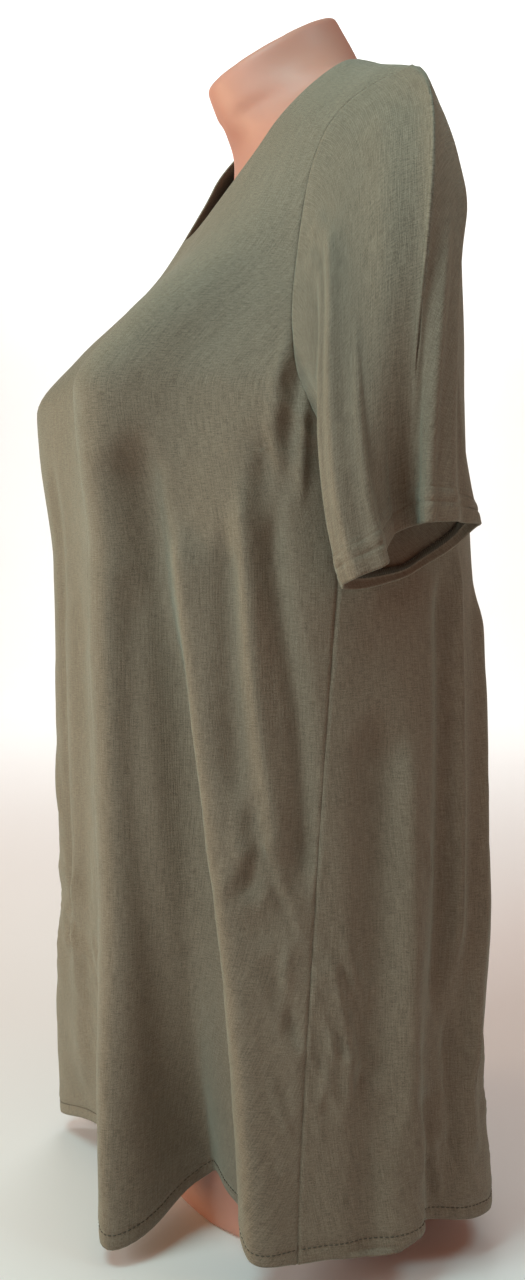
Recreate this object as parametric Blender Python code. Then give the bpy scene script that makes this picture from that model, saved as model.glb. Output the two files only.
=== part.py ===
"""A tunic-length jersey t-shirt worn by a limbless dress form.

The wearer's front faces -Y, the wearer's left is +X and up is +Z. The origin is the middle of
the dress form's flat base. Lengths are in metres and angles in degrees unless a name says otherwise.
"""

import math
from collections import namedtuple

import bpy
import numpy as np

# Driving dimensions of the garment
HEM_LEVEL = 0.030
UNDERARM_LEVEL = 0.540
SHOULDER_TIP = (0.185, 0.785)
NECK_POINT = (0.083, 0.831)
SHOULDER_CREST_SLOPE = 0.30
NECKLINE_FRONT_DROP = 0.120
NECKLINE_BACK_DROP = 0.022
NECKLINE_SQUARENESS = 2.2
FRONT_SQUARENESS = 2.0
SHOULDER_ROLL_START = 0.80
WALL = 0.0018
SEAM_GAP = 0.0003
TIP_GAP = 0.0013
SHOULDER_GAP_SHARPNESS = 8
HEM_UNEVENNESS = 0.060
HEM_UNEVEN_HEIGHT = 0.35
SIDE_SEAM_FORWARD = 17.0
SIDE_SEAM_CURVE = 0.9

# Sleeve
SLEEVE_CENTRE = (0.224, 0.028, 0.474)
SLEEVE_HALF_WIDTH = 0.029
SLEEVE_HALF_DEPTH = 0.047
CUFF_SLOPE_OUT = 0.30
CUFF_SLOPE_BACK = 0.38
CAP_REACH = 0.075
UNDERARM_REACH = 0.030
CUFF_REACH_OUTER = 0.120
CUFF_REACH_INNER = 0.030
CAP_TURN_FRONT = (0.10, 0.50)
CAP_TURN_BACK = -0.35
CAP_DROP = 0.42
UNDERARM_DROP = 0.35
UNDERARM_BLEND = 0.35
FOLD_GROWTH = 2.5
TIP_GAP_SHARPNESS = 30

# Mesh resolution
FRONT_HALF_COLUMNS = 18
BACK_HALF_COLUMNS = 15
SKIRT_ROWS = 13
LOWER_ARMHOLE_ROWS = 8
UPPER_ARMHOLE_ROWS = 11
SLEEVE_ROWS = 11
FORM_COLUMNS = 32

LEFT, RIGHT = 1, -1
HALVINGS = 50

# One row for each cross-section of the body, from the hem to the shoulder. The level is the
# height at the shoulder tip; front_y and back_y are where the section crosses the middle, and
# squareness is 2 for an ellipse and more for a squarer back.
Section = namedtuple("Section", "level half_width side_y front_y back_y squareness")
SECTIONS = (
    Section(level=0.030, half_width=0.202, side_y=0.000, front_y=-0.132, back_y=0.140, squareness=2.6),
    Section(level=0.120, half_width=0.198, side_y=0.000, front_y=-0.138, back_y=0.134, squareness=2.7),
    Section(level=0.240, half_width=0.194, side_y=0.000, front_y=-0.140, back_y=0.142, squareness=2.8),
    Section(level=0.360, half_width=0.189, side_y=0.000, front_y=-0.141, back_y=0.138, squareness=2.8),
    Section(level=0.470, half_width=0.187, side_y=0.000, front_y=-0.141, back_y=0.129, squareness=2.8),
    Section(level=0.540, half_width=0.190, side_y=0.000, front_y=-0.143, back_y=0.125, squareness=2.8),
    Section(level=0.577, half_width=0.193, side_y=0.004, front_y=-0.143, back_y=0.122, squareness=2.8),
    Section(level=0.615, half_width=0.195, side_y=0.010, front_y=-0.118, back_y=0.120, squareness=2.8),
    Section(level=0.666, half_width=0.195, side_y=0.020, front_y=-0.070, back_y=0.117, squareness=2.7),
    Section(level=0.720, half_width=0.194, side_y=0.030, front_y=-0.036, back_y=0.111, squareness=2.6),
    Section(level=0.755, half_width=0.191, side_y=0.038, front_y=-0.014, back_y=0.103, squareness=2.5),
    Section(level=0.785, half_width=0.185, side_y=0.045, front_y=0.008, back_y=0.093, squareness=2.4),
)

# How far each armhole is cut in from the side, in degrees, before its round ends are shaped.
# The rise is 0 at the underarm and 1 at the shoulder tip.
Scoop = namedtuple("Scoop", "rise front back")
ARMHOLE = (
    Scoop(rise=0.00, front=17.0, back=17.0),
    Scoop(rise=0.20, front=21.0, back=24.0),
    Scoop(rise=0.35, front=25.0, back=28.0),
    Scoop(rise=0.50, front=32.0, back=30.0),
    Scoop(rise=0.65, front=40.0, back=33.0),
    Scoop(rise=0.80, front=53.0, back=40.0),
    Scoop(rise=0.90, front=67.0, back=52.0),
    Scoop(rise=1.00, front=88.0, back=80.0),
)

# The cloth stands out over each bust point and hangs from it as a soft ridge. A lift is a share
# of the section's own radius.
Ridge = namedtuple("Ridge", "level angle lift width")
BUST_RIDGE = (
    Ridge(level=0.030, angle=28.0, lift=0.23, width=9.0),
    Ridge(level=0.240, angle=27.0, lift=0.17, width=10.0),
    Ridge(level=0.470, angle=26.0, lift=0.19, width=12.0),
    Ridge(level=0.577, angle=26.0, lift=0.26, width=13.0),
    Ridge(level=0.615, angle=27.0, lift=0.24, width=14.0),
    Ridge(level=0.666, angle=29.0, lift=0.14, width=15.0),
    Ridge(level=0.720, angle=32.0, lift=0.04, width=16.0),
    Ridge(level=0.785, angle=34.0, lift=0.00, width=16.0),
)

# Folds of the skirt, with the angle round the section from the middle of the front, positive to
# the wearer's left. Each grows from its start level down to its depth at the hem.
Fold = namedtuple("Fold", "name start_angle hem_angle start depth width growth")
FOLDS = (
    Fold("front_middle_valley", 0, 2, 0.60, -0.10, 13, 0.6),
    Fold("left_front_ridge", 28, 28, 0.30, 0.06, 9, 0.5),
    Fold("left_front_valley", 44, 41, 0.50, -0.34, 9, 1.2),
    Fold("left_side_front_ridge", 62, 66, 0.50, 0.05, 10, 1.0),
    Fold("left_side_ridge", 92, 97, 0.40, 0.03, 9, 1.2),
    Fold("left_back_valley", 118, 114, 0.45, -0.07, 8, 1.3),
    Fold("left_back_ridge", 136, 134, 0.62, 0.04, 8, 0.8),
    Fold("back_middle_valley", 172, 174, 0.42, -0.06, 12, 1.2),
    Fold("right_back_ridge", -142, -146, 0.60, 0.05, 10, 0.9),
    Fold("right_back_valley", -122, -120, 0.42, -0.08, 9, 1.3),
    Fold("right_side_ridge", -95, -99, 0.40, 0.04, 10, 1.2),
    Fold("right_side_front_ridge", -66, -68, 0.50, 0.06, 11, 1.0),
    Fold("right_front_valley", -46, -45, 0.48, -0.27, 9, 1.3),
)

# The cuff's folded edge on the wearer's left. Its turn is measured along the edge, in degrees of
# the whole, from the valley at its outer middle towards the front. The lead is how far forward
# the cloth above the edge bows.
Cuff = namedtuple("Cuff", "turn out back height lead")
CUFF = (
    Cuff(turn=0, out=0.2290, back=0.0283, height=0.4910, lead=0.020),
    Cuff(turn=24, out=0.2275, back=0.0110, height=0.4855, lead=0.020),
    Cuff(turn=42, out=0.2380, back=0.0020, height=0.4760, lead=0.021),
    Cuff(turn=60, out=0.2500, back=-0.0015, height=0.4665, lead=0.022),
    Cuff(turn=78, out=0.2440, back=-0.0125, height=0.4610, lead=0.026),
    Cuff(turn=96, out=0.2300, back=-0.0180, height=0.4555, lead=0.030),
    Cuff(turn=116, out=0.2130, back=-0.0140, height=0.4515, lead=0.028),
    Cuff(turn=143, out=0.2010, back=0.0000, height=0.4508, lead=0.020),
    Cuff(turn=183, out=0.1970, back=0.0300, height=0.4570, lead=0.010),
    Cuff(turn=215, out=0.1970, back=0.0540, height=0.4690, lead=0.012),
    Cuff(turn=237, out=0.2010, back=0.0700, height=0.4810, lead=0.016),
    Cuff(turn=257, out=0.2160, back=0.0750, height=0.4910, lead=0.020),
    Cuff(turn=285, out=0.2320, back=0.0620, height=0.4925, lead=0.020),
    Cuff(turn=311, out=0.2440, back=0.0450, height=0.4933, lead=0.020),
    Cuff(turn=334, out=0.2480, back=0.0290, height=0.4926, lead=0.020),
    Cuff(turn=347, out=0.2380, back=0.0275, height=0.4918, lead=0.020),
)
CUFF_RING = (
    CUFF[-1]._replace(turn=CUFF[-1].turn - 360),
    *CUFF,
    CUFF[0]._replace(turn=360),
    CUFF[1]._replace(turn=CUFF[1].turn + 360),
)

# One row for each ring of the dress form: its middle, its lean forward, its half sizes, and its
# squareness, which is 2 for an ellipse and less where the shoulders taper into the neck.
Ring = namedtuple("Ring", "height middle_y lean half_width front back squareness")
FORM_RINGS = (
    Ring(0.0000, 0.0000, 0, 0.138, 0.078, 0.082, 2.0),
    Ring(0.0040, 0.0000, 0, 0.142, 0.082, 0.086, 2.0),
    Ring(0.1000, 0.0020, 0, 0.156, 0.086, 0.104, 2.0),
    Ring(0.2000, 0.0040, 0, 0.168, 0.094, 0.120, 2.0),
    Ring(0.2900, 0.0040, 0, 0.160, 0.096, 0.108, 2.0),
    Ring(0.4000, 0.0040, 0, 0.140, 0.100, 0.088, 2.0),
    Ring(0.4700, 0.0040, 0, 0.145, 0.110, 0.090, 2.0),
    Ring(0.5300, 0.0040, 0, 0.158, 0.126, 0.100, 2.0),
    Ring(0.5770, 0.0060, 0, 0.166, 0.134, 0.106, 2.0),
    Ring(0.6200, 0.0120, 0, 0.170, 0.114, 0.103, 2.0),
    Ring(0.6650, 0.0220, 0, 0.173, 0.080, 0.092, 2.0),
    Ring(0.7100, 0.0300, 0, 0.175, 0.062, 0.078, 2.0),
    Ring(0.7450, 0.0360, 0, 0.176, 0.056, 0.064, 1.70),
    Ring(0.7680, 0.0410, 0, 0.176, 0.060, 0.052, 1.30),
    Ring(0.7820, 0.0435, 1, 0.172, 0.065, 0.044, 1.15),
    Ring(0.7918, 0.0440, 3, 0.164, 0.070, 0.040, 1.05),
    Ring(0.8008, 0.0430, 6, 0.144, 0.0745, 0.0395, 1.00),
    Ring(0.8100, 0.0400, 10, 0.119, 0.0755, 0.0405, 1.00),
    Ring(0.8190, 0.0350, 15, 0.094, 0.073, 0.044, 1.10),
    Ring(0.8270, 0.0270, 20, 0.074, 0.068, 0.050, 1.40),
    Ring(0.8330, 0.0200, 25, 0.062, 0.064, 0.053, 1.80),
    Ring(0.8395, 0.0140, 28, 0.0565, 0.0615, 0.0555, 2.00),
    Ring(0.8480, 0.0092, 30, 0.0545, 0.0605, 0.055, 2.00),
    Ring(0.8550, 0.0058, 30, 0.054, 0.060, 0.0545, 2.00),
    Ring(0.8578, 0.0048, 30, 0.0525, 0.0585, 0.053, 2.00),
    Ring(0.8590, 0.0043, 30, 0.049, 0.055, 0.0495, 2.00),
)
FORM_NOSE = 0.20
FORM_NOSE_RANGE = 0.80
FORM_BUST = dict(level=0.577, rise=0.050, angle=27.0, width=16.0, lift=0.30)

Paint = namedtuple("Paint", "name colour roughness")
CLOTH_PAINT = Paint("olive_jersey", (0.165, 0.170, 0.118), 0.85)
FORM_PAINT = Paint("skin_tone_plastic", (0.60, 0.33, 0.24), 0.42)


def smooth_column(rows, column, level):
    """A column of a table at any level, on a curve that never overshoots the rows."""
    known = np.array([getattr(row, rows[0]._fields[0]) for row in rows], float)
    values = np.array([getattr(row, column) for row in rows], float)
    steps = np.diff(known)
    rises = np.diff(values) / steps
    slopes = np.zeros(len(values))
    slopes[0], slopes[-1] = rises[0], rises[-1]
    before, after = rises[:-1], rises[1:]
    same_way = before * after > 0
    weight_before = 2 * steps[1:] + steps[:-1]
    weight_after = steps[1:] + 2 * steps[:-1]
    shares = np.where(same_way, before, 1.0), np.where(same_way, after, 1.0)
    mean = (weight_before + weight_after) / (weight_before / shares[0] + weight_after / shares[1])
    slopes[1:-1] = np.where(same_way, mean, 0.0)
    level = np.clip(np.asarray(level, float), known[0], known[-1])
    at = np.clip(np.searchsorted(known, level, side="right") - 1, 0, len(steps) - 1)
    share = (level - known[at]) / steps[at]
    return (
        values[at] * (1 + 2 * share) * (1 - share) ** 2
        + slopes[at] * steps[at] * share * (1 - share) ** 2
        + values[at + 1] * share**2 * (3 - 2 * share)
        + slopes[at + 1] * steps[at] * share**2 * (share - 1)
    )


def bump(angle, middle, width):
    """A soft bell round an angle, the short way round."""
    away = (np.asarray(angle) - middle + 180.0) % 360.0 - 180.0
    return np.exp(-((away / width) ** 2))


def rise_above_underarm(level):
    """0 up to the underarm and 1 at the shoulder line."""
    tip = SHOULDER_TIP[1]
    return np.clip((np.asarray(level, float) - UNDERARM_LEVEL) / (tip - UNDERARM_LEVEL), 0.0, 1.0)


def level_at_rise(rise):
    """The level whose rise above the underarm is this."""
    return UNDERARM_LEVEL + rise * (SHOULDER_TIP[1] - UNDERARM_LEVEL)


def shoulder_height(x):
    """The shoulder line: straight from tip to neck point, then flatter towards the middle."""
    x = np.abs(x)
    slope = (NECK_POINT[1] - SHOULDER_TIP[1]) / (SHOULDER_TIP[0] - NECK_POINT[0])
    outer = SHOULDER_TIP[1] + slope * (SHOULDER_TIP[0] - x)
    inner = NECK_POINT[1] + SHOULDER_CREST_SLOPE * (NECK_POINT[0] - x)
    return np.where(x > NECK_POINT[0], outer, inner)


def fold_lift(level, angle):
    """How far all folds and ridges push the section out, as a share of its radius."""
    level, angle = np.broadcast_arrays(np.asarray(level, float), np.asarray(angle, float))
    total = np.zeros(level.shape)
    for side in (LEFT, RIGHT):
        middle = side * smooth_column(BUST_RIDGE, "angle", level)
        lift = smooth_column(BUST_RIDGE, "lift", level)
        width = smooth_column(BUST_RIDGE, "width", level)
        total = total + lift * bump(angle, middle, width)
    for fold in FOLDS:
        share = np.clip((fold.start - level) / (fold.start - HEM_LEVEL), 0.0, 1.0)
        middle = fold.start_angle + (fold.hem_angle - fold.start_angle) * share
        total = total + fold.depth * share ** (1.0 + fold.growth) * bump(angle, middle, fold.width)
    return total


def body_surface(level, angle):
    """Points of the garment's outer face, for a level and an angle round the body."""
    level, angle = np.broadcast_arrays(np.asarray(level, float), np.asarray(angle, float))
    half_width = smooth_column(SECTIONS, "half_width", level)
    side_y = smooth_column(SECTIONS, "side_y", level)
    front_y = smooth_column(SECTIONS, "front_y", level)
    back_y = smooth_column(SECTIONS, "back_y", level)
    rise = rise_above_underarm(level)
    rolled = np.clip((rise - SHOULDER_ROLL_START) / (1.0 - SHOULDER_ROLL_START), 0.0, 1.0)
    roll = np.sqrt(np.maximum(1.0 - rolled**2, 0.0))
    across, along = np.sin(np.radians(angle)), np.cos(np.radians(angle))
    depth = np.where(along > 0, side_y - front_y, back_y - side_y) * roll
    square = np.where(along > 0, FRONT_SQUARENESS, smooth_column(SECTIONS, "squareness", level))
    radius = (np.abs(across) ** square + np.abs(along) ** square) ** (-1.0 / square)
    lift = fold_lift(level, angle)
    x = half_width * radius * across * (1.0 + lift)
    y = side_y - depth * radius * along * (1.0 + lift)
    z = np.where(
        level > UNDERARM_LEVEL,
        UNDERARM_LEVEL + rise * (shoulder_height(x) - UNDERARM_LEVEL),
        level,
    )
    near_hem = np.clip(1.0 - (level - HEM_LEVEL) / HEM_UNEVEN_HEIGHT, 0.0, 1.0) ** 2
    return np.stack([x, y, z - HEM_UNEVENNESS * lift * near_hem], axis=-1)


def unit(vectors):
    """Vectors of length one."""
    return vectors / np.linalg.norm(vectors, axis=-1, keepdims=True)


def body_normal(level, angle):
    """The outward direction of the garment's outer face."""
    step, turn = 1e-6, 1e-4
    level, angle = np.broadcast_arrays(np.asarray(level, float), np.asarray(angle, float))
    below = np.maximum(level - step, HEM_LEVEL)
    above = np.minimum(level + step, SHOULDER_TIP[1])
    up = body_surface(above, angle) - body_surface(below, angle)
    across = body_surface(level, angle + turn) - body_surface(level, angle - turn)
    slope = (NECK_POINT[1] - SHOULDER_TIP[1]) / (SHOULDER_TIP[0] - NECK_POINT[0])
    on_crest = np.stack([np.sign(angle) * slope, 0.0 * angle, 1.0 + 0.0 * angle], axis=-1)
    at_crest = rise_above_underarm(level) > 1.0 - 1e-9
    return unit(np.where(at_crest[..., None], on_crest, np.cross(across, up)))


def seam_angle(level):
    """Where the side seam runs: at the side under the arm, and further forward at the hem."""
    share = np.clip((UNDERARM_LEVEL - np.asarray(level, float)) / (UNDERARM_LEVEL - HEM_LEVEL), 0.0, 1.0)
    return 90.0 - SIDE_SEAM_FORWARD * share**SIDE_SEAM_CURVE


def armhole_angle(rise, back):
    """How far the armhole's edge stands from the side, an oval from underarm to shoulder tip."""
    rise = np.clip(rise, 0.0, 1.0)
    scoop = np.where(back, smooth_column(ARMHOLE, "back", rise), smooth_column(ARMHOLE, "front", rise))
    return scoop * np.sqrt(np.maximum(np.sin(np.pi * rise), 0.0))


def neckline_angle(rise, back):
    """The angle where the neckline crosses a row of the front or back, or 0 below it."""
    drop = NECKLINE_BACK_DROP if back else NECKLINE_FRONT_DROP
    half_width = float(smooth_column(SECTIONS, "half_width", level_at_rise(rise)))
    low, high = 0.0, NECK_POINT[0]

    def above(x):
        """How far this row lies above the neckline at x."""
        height = UNDERARM_LEVEL + rise * (float(shoulder_height(x)) - UNDERARM_LEVEL)
        share = (1.0 - (x / NECK_POINT[0]) ** NECKLINE_SQUARENESS) ** (1.0 / NECKLINE_SQUARENESS)
        return height - (NECK_POINT[1] - drop * share)

    if above(low) <= 0.0:
        return 0.0
    for _ in range(HALVINGS):
        middle = (low + high) / 2
        if above(middle) > 0.0:
            low = middle
        else:
            high = middle
    return math.degrees(math.asin(min(1.0, low / half_width)))


def neckline_rise(back):
    """The rise of the row that just touches the bottom of the neckline."""
    drop = NECKLINE_BACK_DROP if back else NECKLINE_FRONT_DROP
    bottom = NECK_POINT[1] - drop
    return (bottom - UNDERARM_LEVEL) / (float(shoulder_height(0.0)) - UNDERARM_LEVEL)


def eased(count, both_ends):
    """Shares from 0 to 1, close together at the start, or at both ends."""
    if both_ends:
        return [(1 - math.cos(math.pi * i / count)) / 2 for i in range(count + 1)]
    return [1 - math.cos(math.pi / 2 * i / count) for i in range(count + 1)]


def row_rises():
    """Rows above the underarm, shared by front, back and sleeves so that their seams meet."""
    split = neckline_rise(back=False)
    lower = [split * share for share in eased(LOWER_ARMHOLE_ROWS, both_ends=False)]
    upper = [split + (1 - split) * share for share in eased(UPPER_ARMHOLE_ROWS, both_ends=True)]
    return lower + upper[1:]


def row_levels():
    """The level of every row, from the hem to the shoulder."""
    span = UNDERARM_LEVEL - HEM_LEVEL
    skirt = [HEM_LEVEL + span * (i / SKIRT_ROWS) for i in range(SKIRT_ROWS)]
    return skirt + [level_at_rise(rise) for rise in row_rises()]


def panel_points(back):
    """Rows of points of the front or back, each row running from the wearer's right to left.

    A row above the neckline's lowest point is two runs, one for each shoulder.
    """
    columns = BACK_HALF_COLUMNS if back else FRONT_HALF_COLUMNS
    rows = []
    for level in row_levels():
        rise = float(rise_above_underarm(level))
        half_width = float(smooth_column(SECTIONS, "half_width", level))
        gap = math.degrees(SEAM_GAP / 2 / half_width)
        if level <= UNDERARM_LEVEL:
            outer = float(seam_angle(level))
            outer = 180.0 - outer - gap if back else outer - gap
        else:
            outer = 90.0 - float(armhole_angle(rise, back))
        inner = neckline_angle(rise, back) if rise > 0 else 0.0
        runs = []
        for side in (RIGHT, LEFT):
            shares = np.arange(columns + 1) / columns
            angles = inner + (outer - inner) * shares
            if back:
                angles = 180.0 - angles
            levels = np.full(angles.shape, level)
            outer_face = body_surface(levels, side * angles)
            outer_face[:, 1] += SEAM_GAP / 2 * (1 if back else -1) * rise**SHOULDER_GAP_SHARPNESS
            inner_face = outer_face - WALL * body_normal(levels, side * angles)
            run = np.concatenate([outer_face, inner_face], axis=1)
            runs.append(run[::-1] if side == RIGHT else run)
        rows.append((runs[0], runs[1], inner > 0.0))
    return rows


def walled_object(name, runs, faces, paint):
    """A wall of cloth between an outer and an inner face, closed along its edges."""
    runs = np.asarray(runs)
    count = len(runs)
    inner = [tuple(i + count for i in face[::-1]) for face in faces]
    edges = {(face[i - 1], face[i]) for face in faces for i in range(len(face))}
    rims = [(b, a, a + count, b + count) for a, b in sorted(edges) if (b, a) not in edges]
    points = np.concatenate([runs[:, :3], runs[:, 3:]])
    return finished_object(name, points, faces + inner + rims, paint)


def finished_object(name, points, faces, paint):
    """A smooth mesh object with its paint."""
    mesh = bpy.data.meshes.new(name)
    mesh.from_pydata([tuple(point) for point in points], [], faces)
    mesh.validate()
    made = bpy.data.objects.new(name, mesh)
    bpy.context.scene.collection.objects.link(made)
    mesh.materials.append(material(paint))
    mesh.shade_smooth()
    return made


def material(paint):
    """The Principled material of a paint, made once."""
    if paint.name in bpy.data.materials:
        return bpy.data.materials[paint.name]
    made = bpy.data.materials.new(paint.name)
    made.use_nodes = True
    shader = made.node_tree.nodes["Principled BSDF"]
    shader.inputs["Base Color"].default_value = (*paint.colour, 1.0)
    shader.inputs["Roughness"].default_value = paint.roughness
    shader.inputs["Metallic"].default_value = 0.0
    return made


def build_panel(name, back):
    """The front or the back, cut round the neckline and armholes, as one wall of cloth."""
    points, numbers = [], []
    for right, left, split in panel_points(back):
        first = len(points)
        points.extend(right)
        count = len(right)
        right_numbers = list(range(first, first + count))
        if split:
            points.extend(left)
            left_numbers = list(range(first + count, first + 2 * count))
        else:
            points.extend(left[1:])
            left_numbers = [first + count - 1] + list(range(first + count, first + 2 * count - 1))
        numbers.append((right_numbers, left_numbers))
    faces = []
    for lower, upper in zip(numbers, numbers[1:]):
        for low, high in zip(lower, upper):
            for i in range(len(low) - 1):
                face = (low[i], low[i + 1], high[i + 1], high[i])
                faces.append(face[::-1] if back else face)
    return walled_object(name, points, faces, CLOTH_PAINT)


def armhole_edge(side):
    """The armhole's edge, from the shoulder tip down the front and up the back.

    Gives its points, the body's outward direction there, the direction in which the sleeve
    leaves it, and each point's rise.
    """
    rises = row_rises()
    front, back = rises[::-1], rises[1:-1]
    rise = np.array(front + back)
    on_back = np.array([False] * len(front) + [True] * len(back))
    inset = armhole_angle(rise, on_back)
    angle = side * np.where(on_back, 90.0 + inset, 90.0 - inset)
    points = body_surface(level_at_rise(rise), angle)
    outward = body_normal(level_at_rise(rise), angle)
    height = 2.0 * rise - 1.0
    turn_in = np.where(on_back, CAP_TURN_BACK, CAP_TURN_FRONT[0] + CAP_TURN_FRONT[1] * rise)
    sideways = np.sqrt(np.maximum(0.0, 1.0 - height**2)) * turn_in
    down = -CAP_DROP * np.maximum(height, 0.0) - UNDERARM_DROP * np.maximum(-height, 0.0)
    away = unit(np.stack([np.full(rise.shape, float(side)), sideways, down], axis=-1))
    return points, outward, away, rise


def cuff_points(side, turn, share):
    """Points that the sleeve hangs to at a share of the way down to the cuff, and their lead.

    The folds of the cuff's edge grow out of a plain oval.
    """
    x, y, z = SLEEVE_CENTRE
    across = SLEEVE_HALF_WIDTH * np.cos(np.radians(turn))
    back = -SLEEVE_HALF_DEPTH * np.sin(np.radians(turn))
    oval = np.stack([x + across, y + back, z + CUFF_SLOPE_OUT * across + CUFF_SLOPE_BACK * back], axis=-1)
    columns = [smooth_column(CUFF_RING, name, turn) for name in ("out", "back", "height")]
    folded = np.stack(columns, axis=-1)
    points = oval + (folded - oval) * share**FOLD_GROWTH
    return points * (side, 1.0, 1.0), smooth_column(CUFF_RING, "lead", turn)


def sleeve_faces(side):
    """The sleeve's outer and inner face, each as rings from the armhole to the cuff."""
    edge, body_outward, away, rise = armhole_edge(side)
    ahead, behind = np.roll(edge, -1, axis=0), np.roll(edge, 1, axis=0)
    along_edge = ahead - behind
    along_edge[0] = (0.0, -1.0, 0.0)
    off_edge = unit(side * np.cross(body_outward, along_edge))
    gap = SEAM_GAP + (TIP_GAP - SEAM_GAP) * rise**TIP_GAP_SHARPNESS
    start = edge + gap[:, None] * off_edge
    lengths = np.linalg.norm(ahead - edge, axis=-1)
    turn = 360.0 * np.concatenate([[0.0], np.cumsum(lengths)[:-1]]) / lengths.sum()
    reach = (UNDERARM_REACH + (CAP_REACH - UNDERARM_REACH) * rise)[:, None]
    drop = CUFF_REACH_INNER + (CUFF_REACH_OUTER - CUFF_REACH_INNER) * rise
    rings = []
    for share in np.arange(SLEEVE_ROWS + 1) / SLEEVE_ROWS:
        end, lead = cuff_points(side, turn, share)
        above_end = end + np.stack([0 * drop, -lead, drop], axis=-1)
        rings.append(
            start * (1 - share) ** 3
            + (start + away * reach) * 3 * share * (1 - share) ** 2
            + above_end * 3 * share**2 * (1 - share)
            + end * share**3
        )
    outer = np.array(rings)
    around = np.roll(outer, -1, axis=1) - np.roll(outer, 1, axis=1)
    outward = unit(side * np.cross(around, np.gradient(outer, axis=0)))
    folded = np.clip(1.0 - rise / UNDERARM_BLEND, 0.0, 1.0)[:, None]
    outward[0] = unit(folded * outward[0] + body_outward)
    return outer, outer - WALL * outward


def build_sleeve(name, side):
    """A sleeve from its armhole to its cuff, filled out as though an arm had just left it."""
    outer, inner = sleeve_faces(side)
    rings, count = outer.shape[:2]
    faces = []
    for row in range(rings - 1):
        for i in range(count):
            j = (i + 1) % count
            low, high = row * count, (row + 1) * count
            face = (low + i, high + i, high + j, low + j)
            faces.append(face[::-1] if side == LEFT else face)
    points = np.concatenate([outer.reshape(-1, 3), inner.reshape(-1, 3)], axis=1)
    return walled_object(name, points, faces, CLOTH_PAINT)


def form_ring(ring):
    """The points round one ring of the dress form, leaning forward with the neck."""
    points = []
    lean = math.radians(ring.lean)
    near_bust = math.exp(-(((ring.height - FORM_BUST["level"]) / FORM_BUST["rise"]) ** 2))
    for i in range(FORM_COLUMNS):
        angle = 360.0 * i / FORM_COLUMNS - 180.0
        lift = FORM_BUST["lift"] * near_bust * (
            float(bump(angle, FORM_BUST["angle"], FORM_BUST["width"]))
            + float(bump(angle, -FORM_BUST["angle"], FORM_BUST["width"]))
        )
        across, along = math.sin(math.radians(angle)), math.cos(math.radians(angle))
        depth = ring.front if along > 0 else ring.back
        square = ring.squareness
        nose = FORM_NOSE * min(1.0, (2.0 - square) / FORM_NOSE_RANGE)
        sideways = math.hypot(across, nose) - nose * (1.0 - across**2)
        radius = (sideways**square + abs(along) ** square) ** (-1.0 / square) * (1.0 + lift)
        forward = depth * along * radius
        points.append(
            (
                ring.half_width * across * radius,
                ring.middle_y - forward * math.cos(lean),
                ring.height - forward * math.sin(lean),
            )
        )
    return points


def build_dress_form():
    """The limbless torso and neck, one smooth closed body with a flat base and a slanting top."""
    points = [point for ring in FORM_RINGS for point in form_ring(ring)]
    count = FORM_COLUMNS
    faces = []
    for row in range(len(FORM_RINGS) - 1):
        for i in range(count):
            j = (i + 1) % count
            faces.append((row * count + i, row * count + j, (row + 1) * count + j, (row + 1) * count + i))
    last = (len(FORM_RINGS) - 1) * count
    faces.append(tuple(range(count))[::-1])
    faces.append(tuple(range(last, last + count)))
    return finished_object("dress_form", points, faces, FORM_PAINT)


def build():
    """Clears the scene and makes every piece."""
    for old in list(bpy.data.objects):
        bpy.data.objects.remove(old)
    build_panel("front_panel", back=False)
    build_panel("back_panel", back=True)
    build_sleeve("sleeve_left", LEFT)
    build_sleeve("sleeve_right", RIGHT)
    build_dress_form()


build()
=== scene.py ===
"""Looks of a tunic-length jersey t-shirt that hangs on a limbless dress form.

The wearer's front faces -Y, the wearer's left is +X and up is +Z. Lengths are in metres and
angles in degrees unless a name says otherwise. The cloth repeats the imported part's own surface
at a finer pitch, with its creases, seams and stitching on top.
"""

import logging
import math
from dataclasses import dataclass, replace
from enum import Enum
from functools import cached_property
from typing import Sequence

import bpy
import numpy as np
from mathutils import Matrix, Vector


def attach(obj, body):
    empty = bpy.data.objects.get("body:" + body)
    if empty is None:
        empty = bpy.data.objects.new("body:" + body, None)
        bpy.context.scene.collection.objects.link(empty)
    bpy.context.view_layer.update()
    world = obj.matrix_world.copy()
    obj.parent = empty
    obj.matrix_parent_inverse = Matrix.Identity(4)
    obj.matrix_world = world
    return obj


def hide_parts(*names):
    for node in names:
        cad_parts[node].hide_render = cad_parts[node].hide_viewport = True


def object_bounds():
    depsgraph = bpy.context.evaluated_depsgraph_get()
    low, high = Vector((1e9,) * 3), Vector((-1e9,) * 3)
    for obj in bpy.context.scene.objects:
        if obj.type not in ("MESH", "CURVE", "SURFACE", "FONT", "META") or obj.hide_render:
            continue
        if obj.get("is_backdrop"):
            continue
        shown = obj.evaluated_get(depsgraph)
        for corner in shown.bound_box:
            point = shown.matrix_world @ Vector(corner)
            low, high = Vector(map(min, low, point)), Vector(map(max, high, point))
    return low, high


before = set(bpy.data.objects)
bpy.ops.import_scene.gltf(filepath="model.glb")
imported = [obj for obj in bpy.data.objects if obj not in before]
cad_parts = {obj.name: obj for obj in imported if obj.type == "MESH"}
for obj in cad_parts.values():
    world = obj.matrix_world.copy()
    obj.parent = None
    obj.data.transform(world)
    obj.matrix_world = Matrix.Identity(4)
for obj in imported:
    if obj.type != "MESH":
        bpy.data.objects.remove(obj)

logging.basicConfig(level=logging.INFO, format="%(name)s: %(message)s")
LOG = logging.getLogger("tshirt")

Array = np.ndarray
Colour = tuple[float, float, float, float]
MM = 0.001
BODY = "root"


class Side(Enum):
    """The wearer's left or right, as the sign of x."""

    LEFT = 1
    RIGHT = -1


class Face(Enum):
    """The front or back panel of the shirt."""

    FRONT = "front_panel"
    BACK = "back_panel"


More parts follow.
